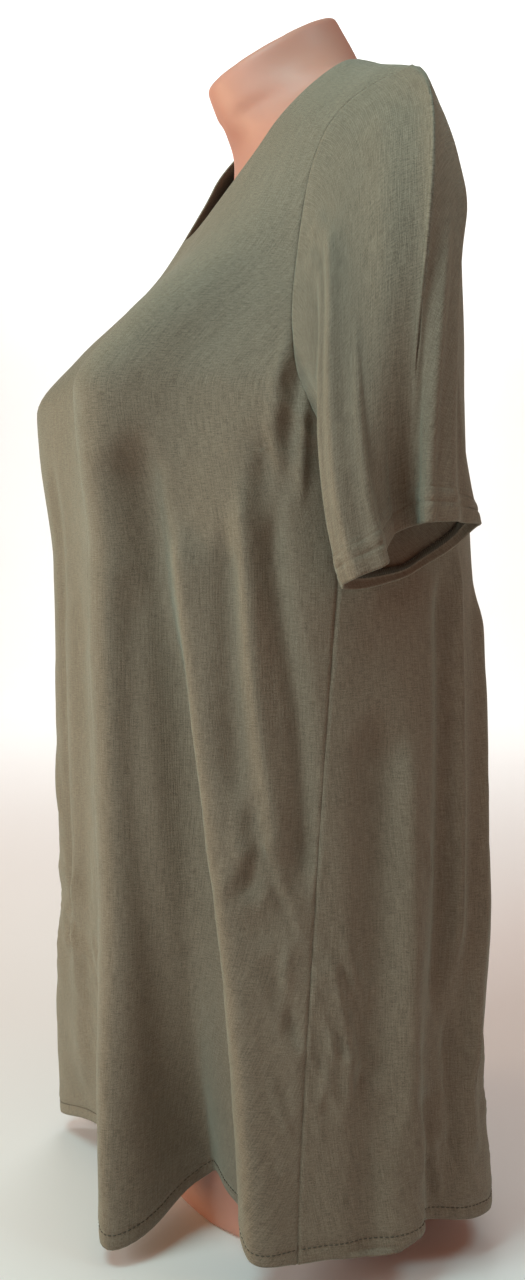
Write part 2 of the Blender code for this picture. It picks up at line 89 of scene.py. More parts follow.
class SmoothCurve:
    """A curve through known places that never overshoots them."""

    def __init__(self, places: Sequence[float], values: Sequence[float]) -> None:
        """Works out the slope at each place.

        Args:
            places: Rising places.
            values: The curve's value at each place.
        """
        self.places = np.asarray(places, float)
        self.values = np.asarray(values, float)
        self.steps = np.diff(self.places)
        rises = np.diff(self.values) / self.steps
        before, after = rises[:-1], rises[1:]
        same_way = before * after > 0
        weight_before = 2 * self.steps[1:] + self.steps[:-1]
        weight_after = self.steps[1:] + 2 * self.steps[:-1]
        first = np.where(same_way, before, 1.0)
        second = np.where(same_way, after, 1.0)
        mean = (weight_before + weight_after) / (weight_before / first + weight_after / second)
        self.slopes = np.concatenate([rises[:1], np.where(same_way, mean, 0.0), rises[-1:]])

    def __call__(self, at: Array) -> Array:
        """The curve's value at any place, held level past its ends.

        Args:
            at: The places.

        Returns:
            The values there.
        """
        at = np.clip(np.asarray(at, float), self.places[0], self.places[-1])
        cell = np.clip(np.searchsorted(self.places, at, side="right") - 1, 0, len(self.steps) - 1)
        share = (at - self.places[cell]) / self.steps[cell]
        return (
            self.values[cell] * (1 + 2 * share) * (1 - share) ** 2
            + self.slopes[cell] * self.steps[cell] * share * (1 - share) ** 2
            + self.values[cell + 1] * share**2 * (3 - 2 * share)
            + self.slopes[cell + 1] * self.steps[cell] * share**2 * (share - 1)
        )

    @classmethod
    def column(cls, rows: Sequence[object], place: str, value: str) -> "SmoothCurve":
        """A curve through one column of a table.

        Args:
            rows: The table's rows.
            place: The name of the column of places.
            value: The name of the column of values.

        Returns:
            The curve.
        """
        return cls([getattr(row, place) for row in rows], [getattr(row, value) for row in rows])


class SoftNoise:
    """Smooth unevenness from a seeded lattice, from -1 to 1."""

    def __init__(self, seed: int, size: int = 64) -> None:
        """Fills the lattice.

        Args:
            seed: The seed of its random numbers.
            size: Its points each way.
        """
        self.size = size
        self.lattice = np.random.default_rng(seed).uniform(-1.0, 1.0, (size, size))

    def __call__(self, across: Array, along: Array) -> Array:
        """The noise at a place, with one lattice step for each unit.

        Args:
            across: Places across.
            along: Places along.

        Returns:
            The noise there.
        """
        across, along = paired(across, along)
        i, j = np.floor(across).astype(int), np.floor(along).astype(int)
        u, v = across - i, along - j
        u, v = u * u * (3 - 2 * u), v * v * (3 - 2 * v)
        low = self.corner(i, j) * (1 - u) + self.corner(i + 1, j) * u
        high = self.corner(i, j + 1) * (1 - u) + self.corner(i + 1, j + 1) * u
        return low * (1 - v) + high * v

    def corner(self, i: Array, j: Array) -> Array:
        """The lattice's own values, which repeat."""
        return self.lattice[i % self.size, j % self.size]


def paired(first: Array, second: Array) -> tuple[Array, Array]:
    """Two sets of numbers as arrays of one shape."""
    return tuple(np.broadcast_arrays(np.asarray(first, float), np.asarray(second, float)))


def unit(vectors: Array) -> Array:
    """Vectors of length one."""
    return vectors / np.maximum(np.linalg.norm(vectors, axis=-1, keepdims=True), 1e-12)


def bell(away: Array, width: float) -> Array:
    """A soft bell, 1 in the middle."""
    return np.exp(-((away / width) ** 2))


def turn_between(angle: Array, middle: float) -> Array:
    """The turn from a middle to an angle, the short way round."""
    return (np.asarray(angle) - middle + 180.0) % 360.0 - 180.0


@dataclass(frozen=True)
class Section:
    """A cross-section of the body, with its level at the shoulder tip."""

    level: float
    half_width: float
    side_y: float
    front_y: float
    back_y: float
    squareness: float


@dataclass(frozen=True)
class Ridge:
    """The lift that each bust point gives the cloth at a level, as a share of the radius."""

    level: float
    angle: float
    lift: float
    width: float


@dataclass(frozen=True)
class Fold:
    """A fold of the skirt, which grows from its start level down to its depth at the hem."""

    start_angle: float
    hem_angle: float
    start: float
    depth: float
    width: float
    growth: float


@dataclass(frozen=True)
class Scoop:
    """How far the armholes are cut in from the side, in degrees, at a rise above the underarm."""

    rise: float
    front: float
    back: float


@dataclass(frozen=True)
class Cuff:
    """A place on the left cuff's folded edge.

    Its turn is measured along the edge, in degrees of the whole, from the valley at its outer
    middle towards the front. The lead is how far forward the cloth above it bows.
    """

    turn: float
    out: float
    back: float
    height: float
    lead: float


SECTIONS = (
    Section(0.030, 0.202, 0.000, -0.132, 0.140, 2.6),
    Section(0.120, 0.198, 0.000, -0.138, 0.134, 2.7),
    Section(0.240, 0.194, 0.000, -0.140, 0.142, 2.8),
    Section(0.360, 0.189, 0.000, -0.141, 0.138, 2.8),
    Section(0.470, 0.187, 0.000, -0.141, 0.129, 2.8),
    Section(0.540, 0.190, 0.000, -0.143, 0.125, 2.8),
    Section(0.577, 0.193, 0.004, -0.143, 0.122, 2.8),
    Section(0.615, 0.195, 0.010, -0.118, 0.120, 2.8),
    Section(0.666, 0.195, 0.020, -0.070, 0.117, 2.7),
    Section(0.720, 0.194, 0.030, -0.036, 0.111, 2.6),
    Section(0.755, 0.191, 0.038, -0.014, 0.103, 2.5),
    Section(0.785, 0.185, 0.045, 0.008, 0.093, 2.4),
)

BUST_RIDGE = (
    Ridge(0.030, 28.0, 0.23, 9.0),
    Ridge(0.240, 27.0, 0.17, 10.0),
    Ridge(0.470, 26.0, 0.19, 12.0),
    Ridge(0.577, 26.0, 0.26, 13.0),
    Ridge(0.615, 27.0, 0.24, 14.0),
    Ridge(0.666, 29.0, 0.14, 15.0),
    Ridge(0.720, 32.0, 0.04, 16.0),
    Ridge(0.785, 34.0, 0.00, 16.0),
)

FOLDS = {
    "front middle valley": Fold(0, 2, 0.60, -0.10, 13, 0.6),
    "left front ridge": Fold(28, 28, 0.30, 0.06, 9, 0.5),
    "left front valley": Fold(44, 41, 0.50, -0.34, 9, 1.2),
    "left side front ridge": Fold(62, 66, 0.50, 0.05, 10, 1.0),
    "left side ridge": Fold(92, 97, 0.40, 0.03, 9, 1.2),
    "left back valley": Fold(118, 114, 0.45, -0.07, 8, 1.3),
    "left back ridge": Fold(136, 134, 0.62, 0.04, 8, 0.8),
    "back middle valley": Fold(172, 174, 0.42, -0.06, 12, 1.2),
    "right back ridge": Fold(-142, -146, 0.60, 0.05, 10, 0.9),
    "right back valley": Fold(-122, -120, 0.42, -0.08, 9, 1.3),
    "right side ridge": Fold(-95, -99, 0.40, 0.04, 10, 1.2),
    "right side front ridge": Fold(-66, -68, 0.50, 0.06, 11, 1.0),
    "right front valley": Fold(-46, -45, 0.48, -0.27, 9, 1.3),
}

ARMHOLE = (
    Scoop(0.00, 17.0, 17.0),
    Scoop(0.20, 21.0, 24.0),
    Scoop(0.35, 25.0, 28.0),
    Scoop(0.50, 32.0, 30.0),
    Scoop(0.65, 40.0, 33.0),
    Scoop(0.80, 53.0, 40.0),
    Scoop(0.90, 67.0, 52.0),
    Scoop(1.00, 88.0, 80.0),
)

CUFF = (
    Cuff(0, 0.2290, 0.0283, 0.4910, 0.020),
    Cuff(24, 0.2275, 0.0110, 0.4855, 0.020),
    Cuff(42, 0.2380, 0.0020, 0.4760, 0.021),
    Cuff(60, 0.2500, -0.0015, 0.4665, 0.022),
    Cuff(78, 0.2440, -0.0125, 0.4610, 0.026),
    Cuff(96, 0.2300, -0.0180, 0.4555, 0.030),
    Cuff(116, 0.2130, -0.0140, 0.4515, 0.028),
    Cuff(143, 0.2010, 0.0000, 0.4508, 0.020),
    Cuff(183, 0.1970, 0.0300, 0.4570, 0.010),
    Cuff(215, 0.1970, 0.0540, 0.4690, 0.012),
    Cuff(237, 0.2010, 0.0700, 0.4810, 0.016),
    Cuff(257, 0.2160, 0.0750, 0.4910, 0.020),
    Cuff(285, 0.2320, 0.0620, 0.4925, 0.020),
    Cuff(311, 0.2440, 0.0450, 0.4933, 0.020),
    Cuff(334, 0.2480, 0.0290, 0.4926, 0.020),
    Cuff(347, 0.2380, 0.0275, 0.4918, 0.020),
)


class BodyShape:
    """The shirt's body as one surface over a level and an angle from the middle of the front."""

    hem = 0.030
    underarm = 0.540
    tip_x, tip_z = 0.185, 0.785
    neck_x, neck_z = 0.083, 0.831
    crest_slope = 0.30
    drops = {Face.FRONT: 0.120, Face.BACK: 0.022}
    neckline_squareness = {Side.LEFT: 2.2, Side.RIGHT: 3.6}
    front_squareness = 2.0
    roll_start = 0.80
    unevenness, uneven_height = 0.060, 0.35
    seam_forward, seam_bow = 17.0, 0.9
    level_step, angle_step = 1e-6, 1e-4
    crest_rise = 1.0 - 1e-9
    halvings = 40

    def __init__(self) -> None:
        """Draws the curves through the tables."""
        names = ("half_width", "side_y", "front_y", "back_y", "squareness")
        self.section = {name: SmoothCurve.column(SECTIONS, "level", name) for name in names}
        names = ("angle", "lift", "width")
        self.bust = {name: SmoothCurve.column(BUST_RIDGE, "level", name) for name in names}
        self.scoops = {
            Face.FRONT: SmoothCurve.column(ARMHOLE, "rise", "front"),
            Face.BACK: SmoothCurve.column(ARMHOLE, "rise", "back"),
        }

    def rise(self, level: Array) -> Array:
        """0 up to the underarm and 1 at the shoulder line."""
        return np.clip((np.asarray(level, float) - self.underarm) / (self.tip_z - self.underarm), 0.0, 1.0)

    def level_at(self, rise: Array) -> Array:
        """The level whose rise above the underarm is this."""
        return self.underarm + np.asarray(rise, float) * (self.tip_z - self.underarm)

    def shoulder_height(self, x: Array) -> Array:
        """The shoulder line: straight from tip to neck point, then flatter towards the middle.

        Args:
            x: How far to the side.

        Returns:
            The line's heights.
        """
        x = np.abs(x)
        slope = (self.neck_z - self.tip_z) / (self.tip_x - self.neck_x)
        outer = self.tip_z + slope * (self.tip_x - x)
        return np.where(x > self.neck_x, outer, self.neck_z + self.crest_slope * (self.neck_x - x))

    def lift(self, level: Array, angle: Array) -> Array:
        """How far the bust ridges and the folds push the section out, as a share of its radius.

        Args:
            level: Levels of the places.
            angle: Their angles.

        Returns:
            The shares.
        """
        total = np.zeros(np.shape(level))
        for side in Side:
            away = turn_between(angle - side.value * self.bust["angle"](level), 0.0)
            total = total + self.bust["lift"](level) * bell(away, self.bust["width"](level))
        for fold in FOLDS.values():
            share = np.clip((fold.start - level) / (fold.start - self.hem), 0.0, 1.0)
            middle = fold.start_angle + (fold.hem_angle - fold.start_angle) * share
            away = turn_between(angle - middle, 0.0)
            total = total + fold.depth * share ** (1.0 + fold.growth) * bell(away, fold.width)
        return total

    def point(self, level: Array, angle: Array) -> Array:
        """Points of the smooth surface.

        Args:
            level: Levels, from the hem up.
            angle: Angles from the middle of the front, positive to the wearer's left.

        Returns:
            The points, one for each level and angle.
        """
        level, angle = paired(level, angle)
        at = {name: curve(level) for name, curve in self.section.items()}
        rise = self.rise(level)
        rolled = np.clip((rise - self.roll_start) / (1.0 - self.roll_start), 0.0, 1.0)
        roll = np.sqrt(np.maximum(1.0 - rolled**2, 0.0))
        across, along = np.sin(np.radians(angle)), np.cos(np.radians(angle))
        in_front = along > 0
        depth = np.where(in_front, at["side_y"] - at["front_y"], at["back_y"] - at["side_y"]) * roll
        square = np.where(in_front, self.front_squareness, at["squareness"])
        radius = (np.abs(across) ** square + np.abs(along) ** square) ** (-1.0 / square)
        lift = self.lift(level, angle)
        x = at["half_width"] * radius * across * (1.0 + lift)
        y = at["side_y"] - depth * radius * along * (1.0 + lift)
        over = self.underarm + rise * (self.shoulder_height(x) - self.underarm)
        z = np.where(level > self.underarm, over, level)
        near_hem = np.clip(1.0 - (level - self.hem) / self.uneven_height, 0.0, 1.0) ** 2
        return np.stack([x, y, z - self.unevenness * lift * near_hem], axis=-1)

    def normal(self, level: Array, angle: Array) -> Array:
        """The surface's outward direction at each level and angle.

        Args:
            level: Levels of the places.
            angle: Their angles.

        Returns:
            The directions, of length one.
        """
        level, angle = paired(level, angle)
        below = np.maximum(level - self.level_step, self.hem)
        above = np.minimum(level + self.level_step, self.tip_z)
        up = self.point(above, angle) - self.point(below, angle)
        across = self.point(level, angle + self.angle_step) - self.point(level, angle - self.angle_step)
        slope = (self.neck_z - self.tip_z) / (self.tip_x - self.neck_x)
        crest = np.stack([np.sign(angle) * slope, 0.0 * angle, 1.0 + 0.0 * angle], axis=-1)
        at_crest = self.rise(level) > self.crest_rise
        return unit(np.where(at_crest[..., None], crest, np.cross(across, up)))

    def side_seam(self, level: Array) -> Array:
        """The side seam's angle, at the side under the arm and further forward at the hem."""
        share = np.clip((self.underarm - np.asarray(level, float)) / (self.underarm - self.hem), 0.0, 1.0)
        return 90.0 - self.seam_forward * share**self.seam_bow

    def armhole_inset(self, rise: Array, face: Face) -> Array:
        """How far an armhole's edge stands from the side, in degrees."""
        rise = np.clip(rise, 0.0, 1.0)
        return self.scoops[face](rise) * np.sqrt(np.maximum(np.sin(np.pi * rise), 0.0))

    def outer_angle(self, level: float, face: Face) -> float:
        """The angle at which a row of a panel ends, at the side seam or the armhole.

        Args:
            level: The row's level.
            face: The panel.

        Returns:
            The angle.
        """
        if level <= self.underarm:
            angle = float(self.side_seam(level))
            return 180.0 - angle if face is Face.BACK else angle
        return 90.0 - float(self.armhole_inset(self.rise(level), face))

    def neckline_rise(self, face: Face) -> float:
        """The rise of the row that just touches the bottom of a neckline."""
        bottom = self.neck_z - self.drops[face]
        return (bottom - self.underarm) / (float(self.shoulder_height(0.0)) - self.underarm)

    def inner_angle(self, level: float, face: Face, side: Side) -> float:
        """The angle at which a row meets the neckline, or 0 below it.

        Args:
            level: The row's level.
            face: The panel.
            side: The side of the neckline.

        Returns:
            The angle.
        """
        rise = float(self.rise(level))
        low, high = 0.0, self.neck_x

        def above(x: float) -> float:
            """How far the row lies above the neckline at x."""
            height = self.underarm + rise * (float(self.shoulder_height(x)) - self.underarm)
            power = self.neckline_squareness[side if face is Face.FRONT else Side.LEFT]
            share = (1.0 - (x / self.neck_x) ** power) ** (1.0 / power)
            return height - (self.neck_z - self.drops[face] * share)

        if rise <= 0.0 or above(low) <= 0.0:
            return 0.0
        for _ in range(self.halvings):
            middle = (low + high) / 2
            low, high = (middle, high) if above(middle) > 0.0 else (low, middle)
        return math.degrees(math.asin(min(1.0, low / float(self.section["half_width"](level)))))


@dataclass(frozen=True)
class Crease:
    """A soft ridge or trough laid along the cloth.

    The path runs downwards through pairs of a level and an angle. The height is positive for a
    ridge. A lean over 0 makes the side at the larger angles steeper.
    """

    path: tuple[tuple[float, float], ...]
    width: float
    height: float
    lean: float = 0.0

    slope_step = 2 * MM
    end_share, longest_end = 0.35, 0.040
    tip_width, added_width = 0.55, 0.45
    rim = 0.45

    @cached_property
    def curve(self) -> SmoothCurve:
        """The crease's angle over its level."""
        rows = sorted(self.path)
        return SmoothCurve([row[0] for row in rows], [row[1] for row in rows])

    def mirrored(self, shift: float, drop: float, share: float) -> "Crease":
        """The like crease on the other side of the body, moved, lowered and weakened a little."""
        path = tuple((level - drop, -(angle + shift)) for level, angle in self.path)
        return Crease(path, self.width, self.height * share, -self.lean)

    def relief(self, level: Array, angle: Array, metre: float) -> Array:
        """The crease's height at each place.

        Args:
            level: Levels of the places.
            angle: Their angles.
            metre: The length of one degree round the cloth.

        Returns:
            The heights.
        """
        curve, step = self.curve, self.slope_step
        low, high = curve.places[0], curve.places[-1]
        to_hem = low <= BodyShape.hem + step
        if np.all((level >= high) | (level <= low)) and not (to_hem and np.any(level < high)):
            return np.zeros(np.shape(angle))
        slope = (curve(level + step) - curve(level - step)) * metre / (2 * step)
        aside = turn_between(angle - curve(level), 0.0) * metre / np.sqrt(1.0 + slope**2)
        softness = min(self.end_share * (high - low), self.longest_end)
        reach = np.clip((high - level) / softness, 0, 1)
        if not to_hem:
            reach = reach * np.clip((level - low) / softness, 0, 1)
        reach = reach * reach * (3 - 2 * reach)
        lean = np.where(aside > 0, 1.0 - self.lean, 1.0 + self.lean)
        width = self.width * (self.tip_width + self.added_width * reach) * lean
        share = (aside / width) ** 2
        return self.height * reach * (1.0 - self.rim * share) * np.exp(-share)


@dataclass(frozen=True)
class Crumple:
    """A patch of small irregular creases, with its middle and its reach in metres."""

    level: float
    angle: float
    reach: float
    height: float


LEFT_CREASES = {
    "main valley": Crease(
        ((0.56, 37), (0.44, 40), (0.376, 44), (0.277, 48.5), (0.184, 52.5), (0.089, 54), (0.030, 54)),
        0.017, -0.0100, 0.35,
    ),
    "light ridge": Crease(
        ((0.50, 45), (0.376, 50.5), (0.28, 56), (0.189, 60.5), (0.11, 63), (0.030, 64)), 0.016, 0.0065, -0.2
    ),
    "second valley": Crease(((0.50, 57), (0.443, 58), (0.378, 59), (0.30, 61)), 0.010, -0.0035),
    "second ridge": Crease(((0.53, 62), (0.443, 64), (0.38, 66), (0.316, 69), (0.25, 72)), 0.011, 0.0045),
    "seam valley": Crease(
        ((0.56, 68), (0.469, 70), (0.417, 73), (0.366, 76), (0.316, 77), (0.25, 77)), 0.011, -0.0050
    ),
    "front ridge's double line": Crease(((0.57, 20), (0.47, 21), (0.30, 21), (0.18, 20)), 0.005, -0.0028),
    "edge behind the front ridge": Crease(((0.47, 33), (0.31, 34), (0.18, 36), (0.030, 37)), 0.010, -0.0035),
    "first drag ridge": Crease(
        ((0.325, 60), (0.300, 61.5), (0.285, 62), (0.266, 60), (0.240, 54)), 0.007, 0.0017
    ),
    "first drag trough": Crease(
        ((0.320, 63), (0.296, 64.5), (0.280, 65), (0.262, 63), (0.236, 57)), 0.007, -0.0016
    ),
    "second drag ridge": Crease(((0.315, 69), (0.294, 65), (0.266, 61)), 0.006, 0.0012),
    "third drag ridge": Crease(((0.300, 65.5), (0.262, 72), (0.238, 75.5), (0.224, 78)), 0.006, 0.0015),
    "third drag trough": Crease(((0.292, 65), (0.256, 71), (0.228, 75.5)), 0.006, -0.0014),
    "fourth drag ridge": Crease(((0.272, 68), (0.232, 77)), 0.006, 0.0012),
    "crease into the seam": Crease(((0.218, 68.5), (0.186, 72), (0.155, 75.5)), 0.006, -0.0016),
    "ridge along the seam": Crease(((0.230, 72.5), (0.195, 71.5), (0.165, 70)), 0.006, 0.0018),
    "low crease into the seam": Crease(((0.155, 67), (0.125, 70), (0.100, 73)), 0.0050, 0.0020),
    "lowest crease into the seam": Crease(((0.120, 64), (0.080, 70)), 0.0055, -0.0020),
    "ridge under the armhole": Crease(((0.625, 68), (0.597, 69), (0.544, 70), (0.465, 67)), 0.009, 0.0028),
    "trough under the armhole": Crease(((0.620, 72), (0.560, 73.5), (0.490, 71.5)), 0.009, -0.0013),
    "ridge beside the underarm": Crease(((0.600, 75.5), (0.544, 77), (0.495, 77)), 0.0050, 0.0024),
    "side hollow": Crease(((0.38, 99), (0.25, 97), (0.157, 95), (0.030, 94)), 0.022, -0.0065),
    "ridge behind the hollow": Crease(((0.36, 106), (0.20, 106), (0.030, 108)), 0.014, 0.0045),
    "back light line": Crease(((0.49, 126), (0.42, 124), (0.255, 121.5), (0.19, 121)), 0.0065, 0.0040),
    "back dark line": Crease(((0.47, 119), (0.40, 118), (0.26, 116), (0.16, 115)), 0.010, -0.0045),
    "back outer line": Crease(((0.46, 138), (0.372, 134), (0.239, 130), (0.11, 128)), 0.009, 0.0045),
    "short back crease": Crease(((0.300, 110), (0.278, 111), (0.250, 114.5)), 0.0045, 0.0022),
    "ridge at the side's foot": Crease(((0.230, 81.5), (0.190, 86), (0.148, 89), (0.108, 86)), 0.007, 0.0024),
    "trough at the side's foot": Crease(
        ((0.226, 84.5), (0.188, 89), (0.148, 92), (0.12, 91)), 0.008, -0.0022
    ),
    "crease across the side": Crease(((0.243, 86), (0.205, 90), (0.170, 94)), 0.006, 0.0015),
    "second crease across the side": Crease(((0.180, 84), (0.145, 82.5), (0.115, 79)), 0.006, 0.0014),
    "back foot ridge": Crease(((0.21, 126), (0.13, 127), (0.060, 128.5)), 0.0070, 0.0034),
    "back foot trough": Crease(((0.180, 119), (0.11, 121), (0.045, 122.5)), 0.0060, -0.0034),
    "back foot crease": Crease(((0.105, 114), (0.036, 118.5)), 0.0050, 0.0028),
    "low back crease": Crease(((0.085, 103), (0.050, 108), (0.035, 109)), 0.0050, -0.0024),
    "inner back valley": Crease(((0.54, 151), (0.36, 148), (0.20, 150), (0.030, 148)), 0.012, -0.0045),
    "inner back ridge": Crease(((0.47, 160), (0.20, 163), (0.030, 161)), 0.012, 0.0040),
    "far front crease": Crease(((0.335, 23), (0.300, 21), (0.262, 18.5)), 0.0055, 0.0018),
    "low far front crease": Crease(((0.250, 16), (0.205, 19), (0.150, 17)), 0.0060, 0.0022),
    "front hollow": Crease(((0.44, 9), (0.25, 11), (0.030, 12)), 0.014, 0.0040),
}

CRUMPLES = (
    Crumple(0.160, 84.0, 0.060, 0.0018),
    Crumple(0.095, 118.0, 0.060, 0.0017),
    Crumple(0.265, 67.0, 0.040, 0.0013),
    Crumple(0.180, -18.0, 0.060, 0.0014),
    Crumple(0.140, -84.0, 0.070, 0.0016),
    Crumple(0.110, -126.0, 0.070, 0.0016),
    Crumple(0.100, 165.0, 0.080, 0.0013),
    Crumple(0.560, 74.0, 0.040, 0.0012),
    Crumple(0.560, -74.0, 0.040, 0.0012),
)


@dataclass(frozen=True)
class Wave:
    """One size of the cloth's random unevenness, with its pitch across and up."""

    seed: int
    height: float
    across: float
    up: float


@dataclass(frozen=True)
class CrumpleSize:
    """One size of the little ridges in a crumpled patch."""

    share: float
    shift: float
    across: float
    along: float


class ShirtCloth:
    """Everything that the panels and sleeves share: the surface with its relief, and the wall."""

    radius = 0.170
    wall, turned_wall = 1.0 * MM, 1.8 * MM
    hem_height, hem_turn_in = 20 * MM, 8 * MM
    neckline_turn = 9 * MM
    crease_gain = 1.3
    mirror_shift, mirror_drop, mirror_share = 3.0, 0.012, 0.85
    waves = (
        Wave(11, 1.3 * MM, 0.060, 0.110), Wave(23, 0.55 * MM, 0.022, 0.045), Wave(37, 0.16 * MM, 0.008, 0.013)
    )
    crumple_sizes = (CrumpleSize(1.0, 0.0, 0.016, 0.034), CrumpleSize(0.45, 9.0, 0.008, 0.019))
    crumple_slant, crumple_sharpness = 0.5, 2.4
    groove_depth, groove_width = 1.1 * MM, 1.5 * MM
    pucker_height, pucker_reach, pucker_pitch = 0.55 * MM, 9 * MM, 9 * MM
    side_seam_seed, armhole_seed, hem_seed = 3.3, 7.7, 0.5
    armhole_stretch = 1.4
    shoulder_groove, shoulder_groove_width, shoulder_drop = 0.9 * MM, 1.4 * MM, 0.25
    calm_rise = 0.06
    hem_swell, swell_middle, swell_width = 0.7 * MM, 0.45, 0.42
    hem_stitch_row, dent_width, dent_pitch = 8 * MM, 2.2 * MM, 6 * MM
    dent, dent_change = 0.8 * MM, 0.35 * MM
    shoulder_puff, puff_start, puff_span, puff_reach = 6.5 * MM, 0.80, 0.20, 0.050
    fold_dip, dip_width, dips = 9 * MM, 7.0, ((36.0, 1.0), (-38.0, 0.6))
    arch_rise, arch_middle, arch_width = 11 * MM, 54.0, 8.0
    hem_wave, hem_wave_width, hang_height = 1.5 * MM, 7.0, 0.12

    def __init__(self, shape: BodyShape) -> None:
        """Seeds the unevenness of the cloth and mirrors the left side's creases."""
        self.shape = shape
        self.noises = [SoftNoise(wave.seed) for wave in self.waves]
        self.seam_noise = SoftNoise(51)
        self.crumple_noise = SoftNoise(67)
        self.creases = list(LEFT_CREASES.values())
        for i, crease in enumerate(LEFT_CREASES.values()):
            shift, drop = self.mirror_shift * (-1) ** i, self.mirror_drop * (-1) ** (i // 2)
            self.creases.append(crease.mirrored(shift, drop, self.mirror_share))

    def unevenness(self, across: Array, up: Array) -> Array:
        """Gentle random lift of cloth that hangs freely."""
        layers = zip(self.waves, self.noises)
        return sum(wave.height * noise(across / wave.across, up / wave.up) for wave, noise in layers)

    def crumple(self, across: Array, up: Array) -> Array:
        """Sharp little ridges that run slantwise, from about -1 to 1.

        Args:
            across: Places round the cloth.
            up: Their levels.

        Returns:
            The ridges' heights.
        """
        slant, along = across + self.crumple_slant * up, up - self.crumple_slant * across
        total = np.zeros(np.shape(slant))
        for size in self.crumple_sizes:
            noise = self.crumple_noise(slant / size.across + size.shift, along / size.along)
            total = total + size.share * (1.0 - self.crumple_sharpness * np.abs(noise))
        return total

    def seam(self, away: Array, along: Array, seed: float) -> Array:
        """The groove and the puckers beside a sewn seam.

        Args:
            away: The distance from the seam.
            along: The place along the seam.
            seed: A number that gives each seam its own puckers.

        Returns:
            The heights.
        """
        groove = -self.groove_depth * bell(away, self.groove_width)
        wave = self.seam_noise(along / self.pucker_pitch + seed, seed)
        pull = np.exp(-away / self.pucker_reach) * (1.0 - bell(away, self.groove_width))
        return groove + self.pucker_height * wave * pull

    def relief(self, level: Array, angle: Array) -> Array:
        """The height of creases, seams and unevenness over the smooth body.

        Args:
            level: Levels of the places.
            angle: Their angles.

        Returns:
            The heights.
        """
        level, angle = paired(level, angle)
        angle = (angle + 180.0) % 360.0 - 180.0
        metre = math.radians(self.radius)
        across = angle * metre
        total = self.unevenness(across, level)
        for crease in self.creases:
            total = total + self.crease_gain * crease.relief(level, angle, metre)
        for patch in CRUMPLES:
            away = np.hypot(turn_between(angle, patch.angle) * metre, level - patch.level)
            total = total + patch.height * bell(away, patch.reach) * self.crumple(across, level)
        rise = self.shape.rise(level)
        total = total * np.clip((1.0 - rise) / self.calm_rise, 0.0, 1.0)
        below = rise <= 0.0
        side_gap = np.abs(np.abs(angle) - self.shape.side_seam(level)) * metre
        total = total + np.where(below, self.seam(side_gap, level, self.side_seam_seed), 0.0)
        front, back = (self.shape.armhole_inset(rise, face) for face in Face)
        inset = np.where(np.abs(angle) < 90.0, front, back)
        armhole_gap = np.maximum(np.abs(np.abs(angle) - 90.0) - inset, 0.0) * metre
        seam = self.seam(armhole_gap, level * self.armhole_stretch, self.armhole_seed)
        total = total + np.where(below, 0.0, seam)
        shoulder_gap = (1.0 - rise) * self.shoulder_drop
        total = total - self.shoulder_groove * bell(shoulder_gap, self.shoulder_groove_width)
        above_hem, height = level - self.shape.hem, self.hem_height
        swell = bell(above_hem - self.swell_middle * height, self.swell_width * height)
        total = total + self.hem_swell * swell
        stitch_pull = self.seam_noise(across / self.dent_pitch, self.hem_seed)
        dent = self.dent_change * stitch_pull - self.dent
        return total + bell(above_hem - self.hem_stitch_row, self.dent_width) * dent

    def hang(self, level: Array, angle: Array, x: Array) -> Array:
        """How far the cloth stands higher or hangs lower than the smooth body.

        Args:
            level: Levels of the places.
            angle: Their angles.
            x: How far they lie to the side.

        Returns:
            The rise, negative where the hem dips.
        """
        near_tip = np.clip((self.shape.rise(level) - self.puff_start) / self.puff_span, 0.0, 1.0)
        puff = self.shoulder_puff * near_tip**2 * bell(np.abs(x) - self.shape.tip_x, self.puff_reach)
        near_hem = np.clip(1.0 - (level - self.shape.hem) / self.hang_height, 0.0, 1.0) ** 2
        dips = sum(share * bell(turn_between(angle, at), self.dip_width) for at, share in self.dips)
        wave = self.noises[0](turn_between(angle, 0.0) / self.hem_wave_width, self.hem_seed)
        arch = self.arch_rise * bell(turn_between(angle, self.arch_middle), self.arch_width)
        return puff + near_hem * (arch - self.fold_dip * dips - self.hem_wave * wave)

    def outer(self, level: Array, angle: Array) -> Array:
        """Points of the cloth's outer face.

        Args:
            level: Levels of the places.
            angle: Their angles.

        Returns:
            The points.
        """
        level, angle = paired(level, angle)
        smooth = self.shape.point(level, angle)
        points = smooth + self.relief(level, angle)[..., None] * self.shape.normal(level, angle)
        points[..., 2] += self.hang(level, angle, smooth[..., 0])
        return points


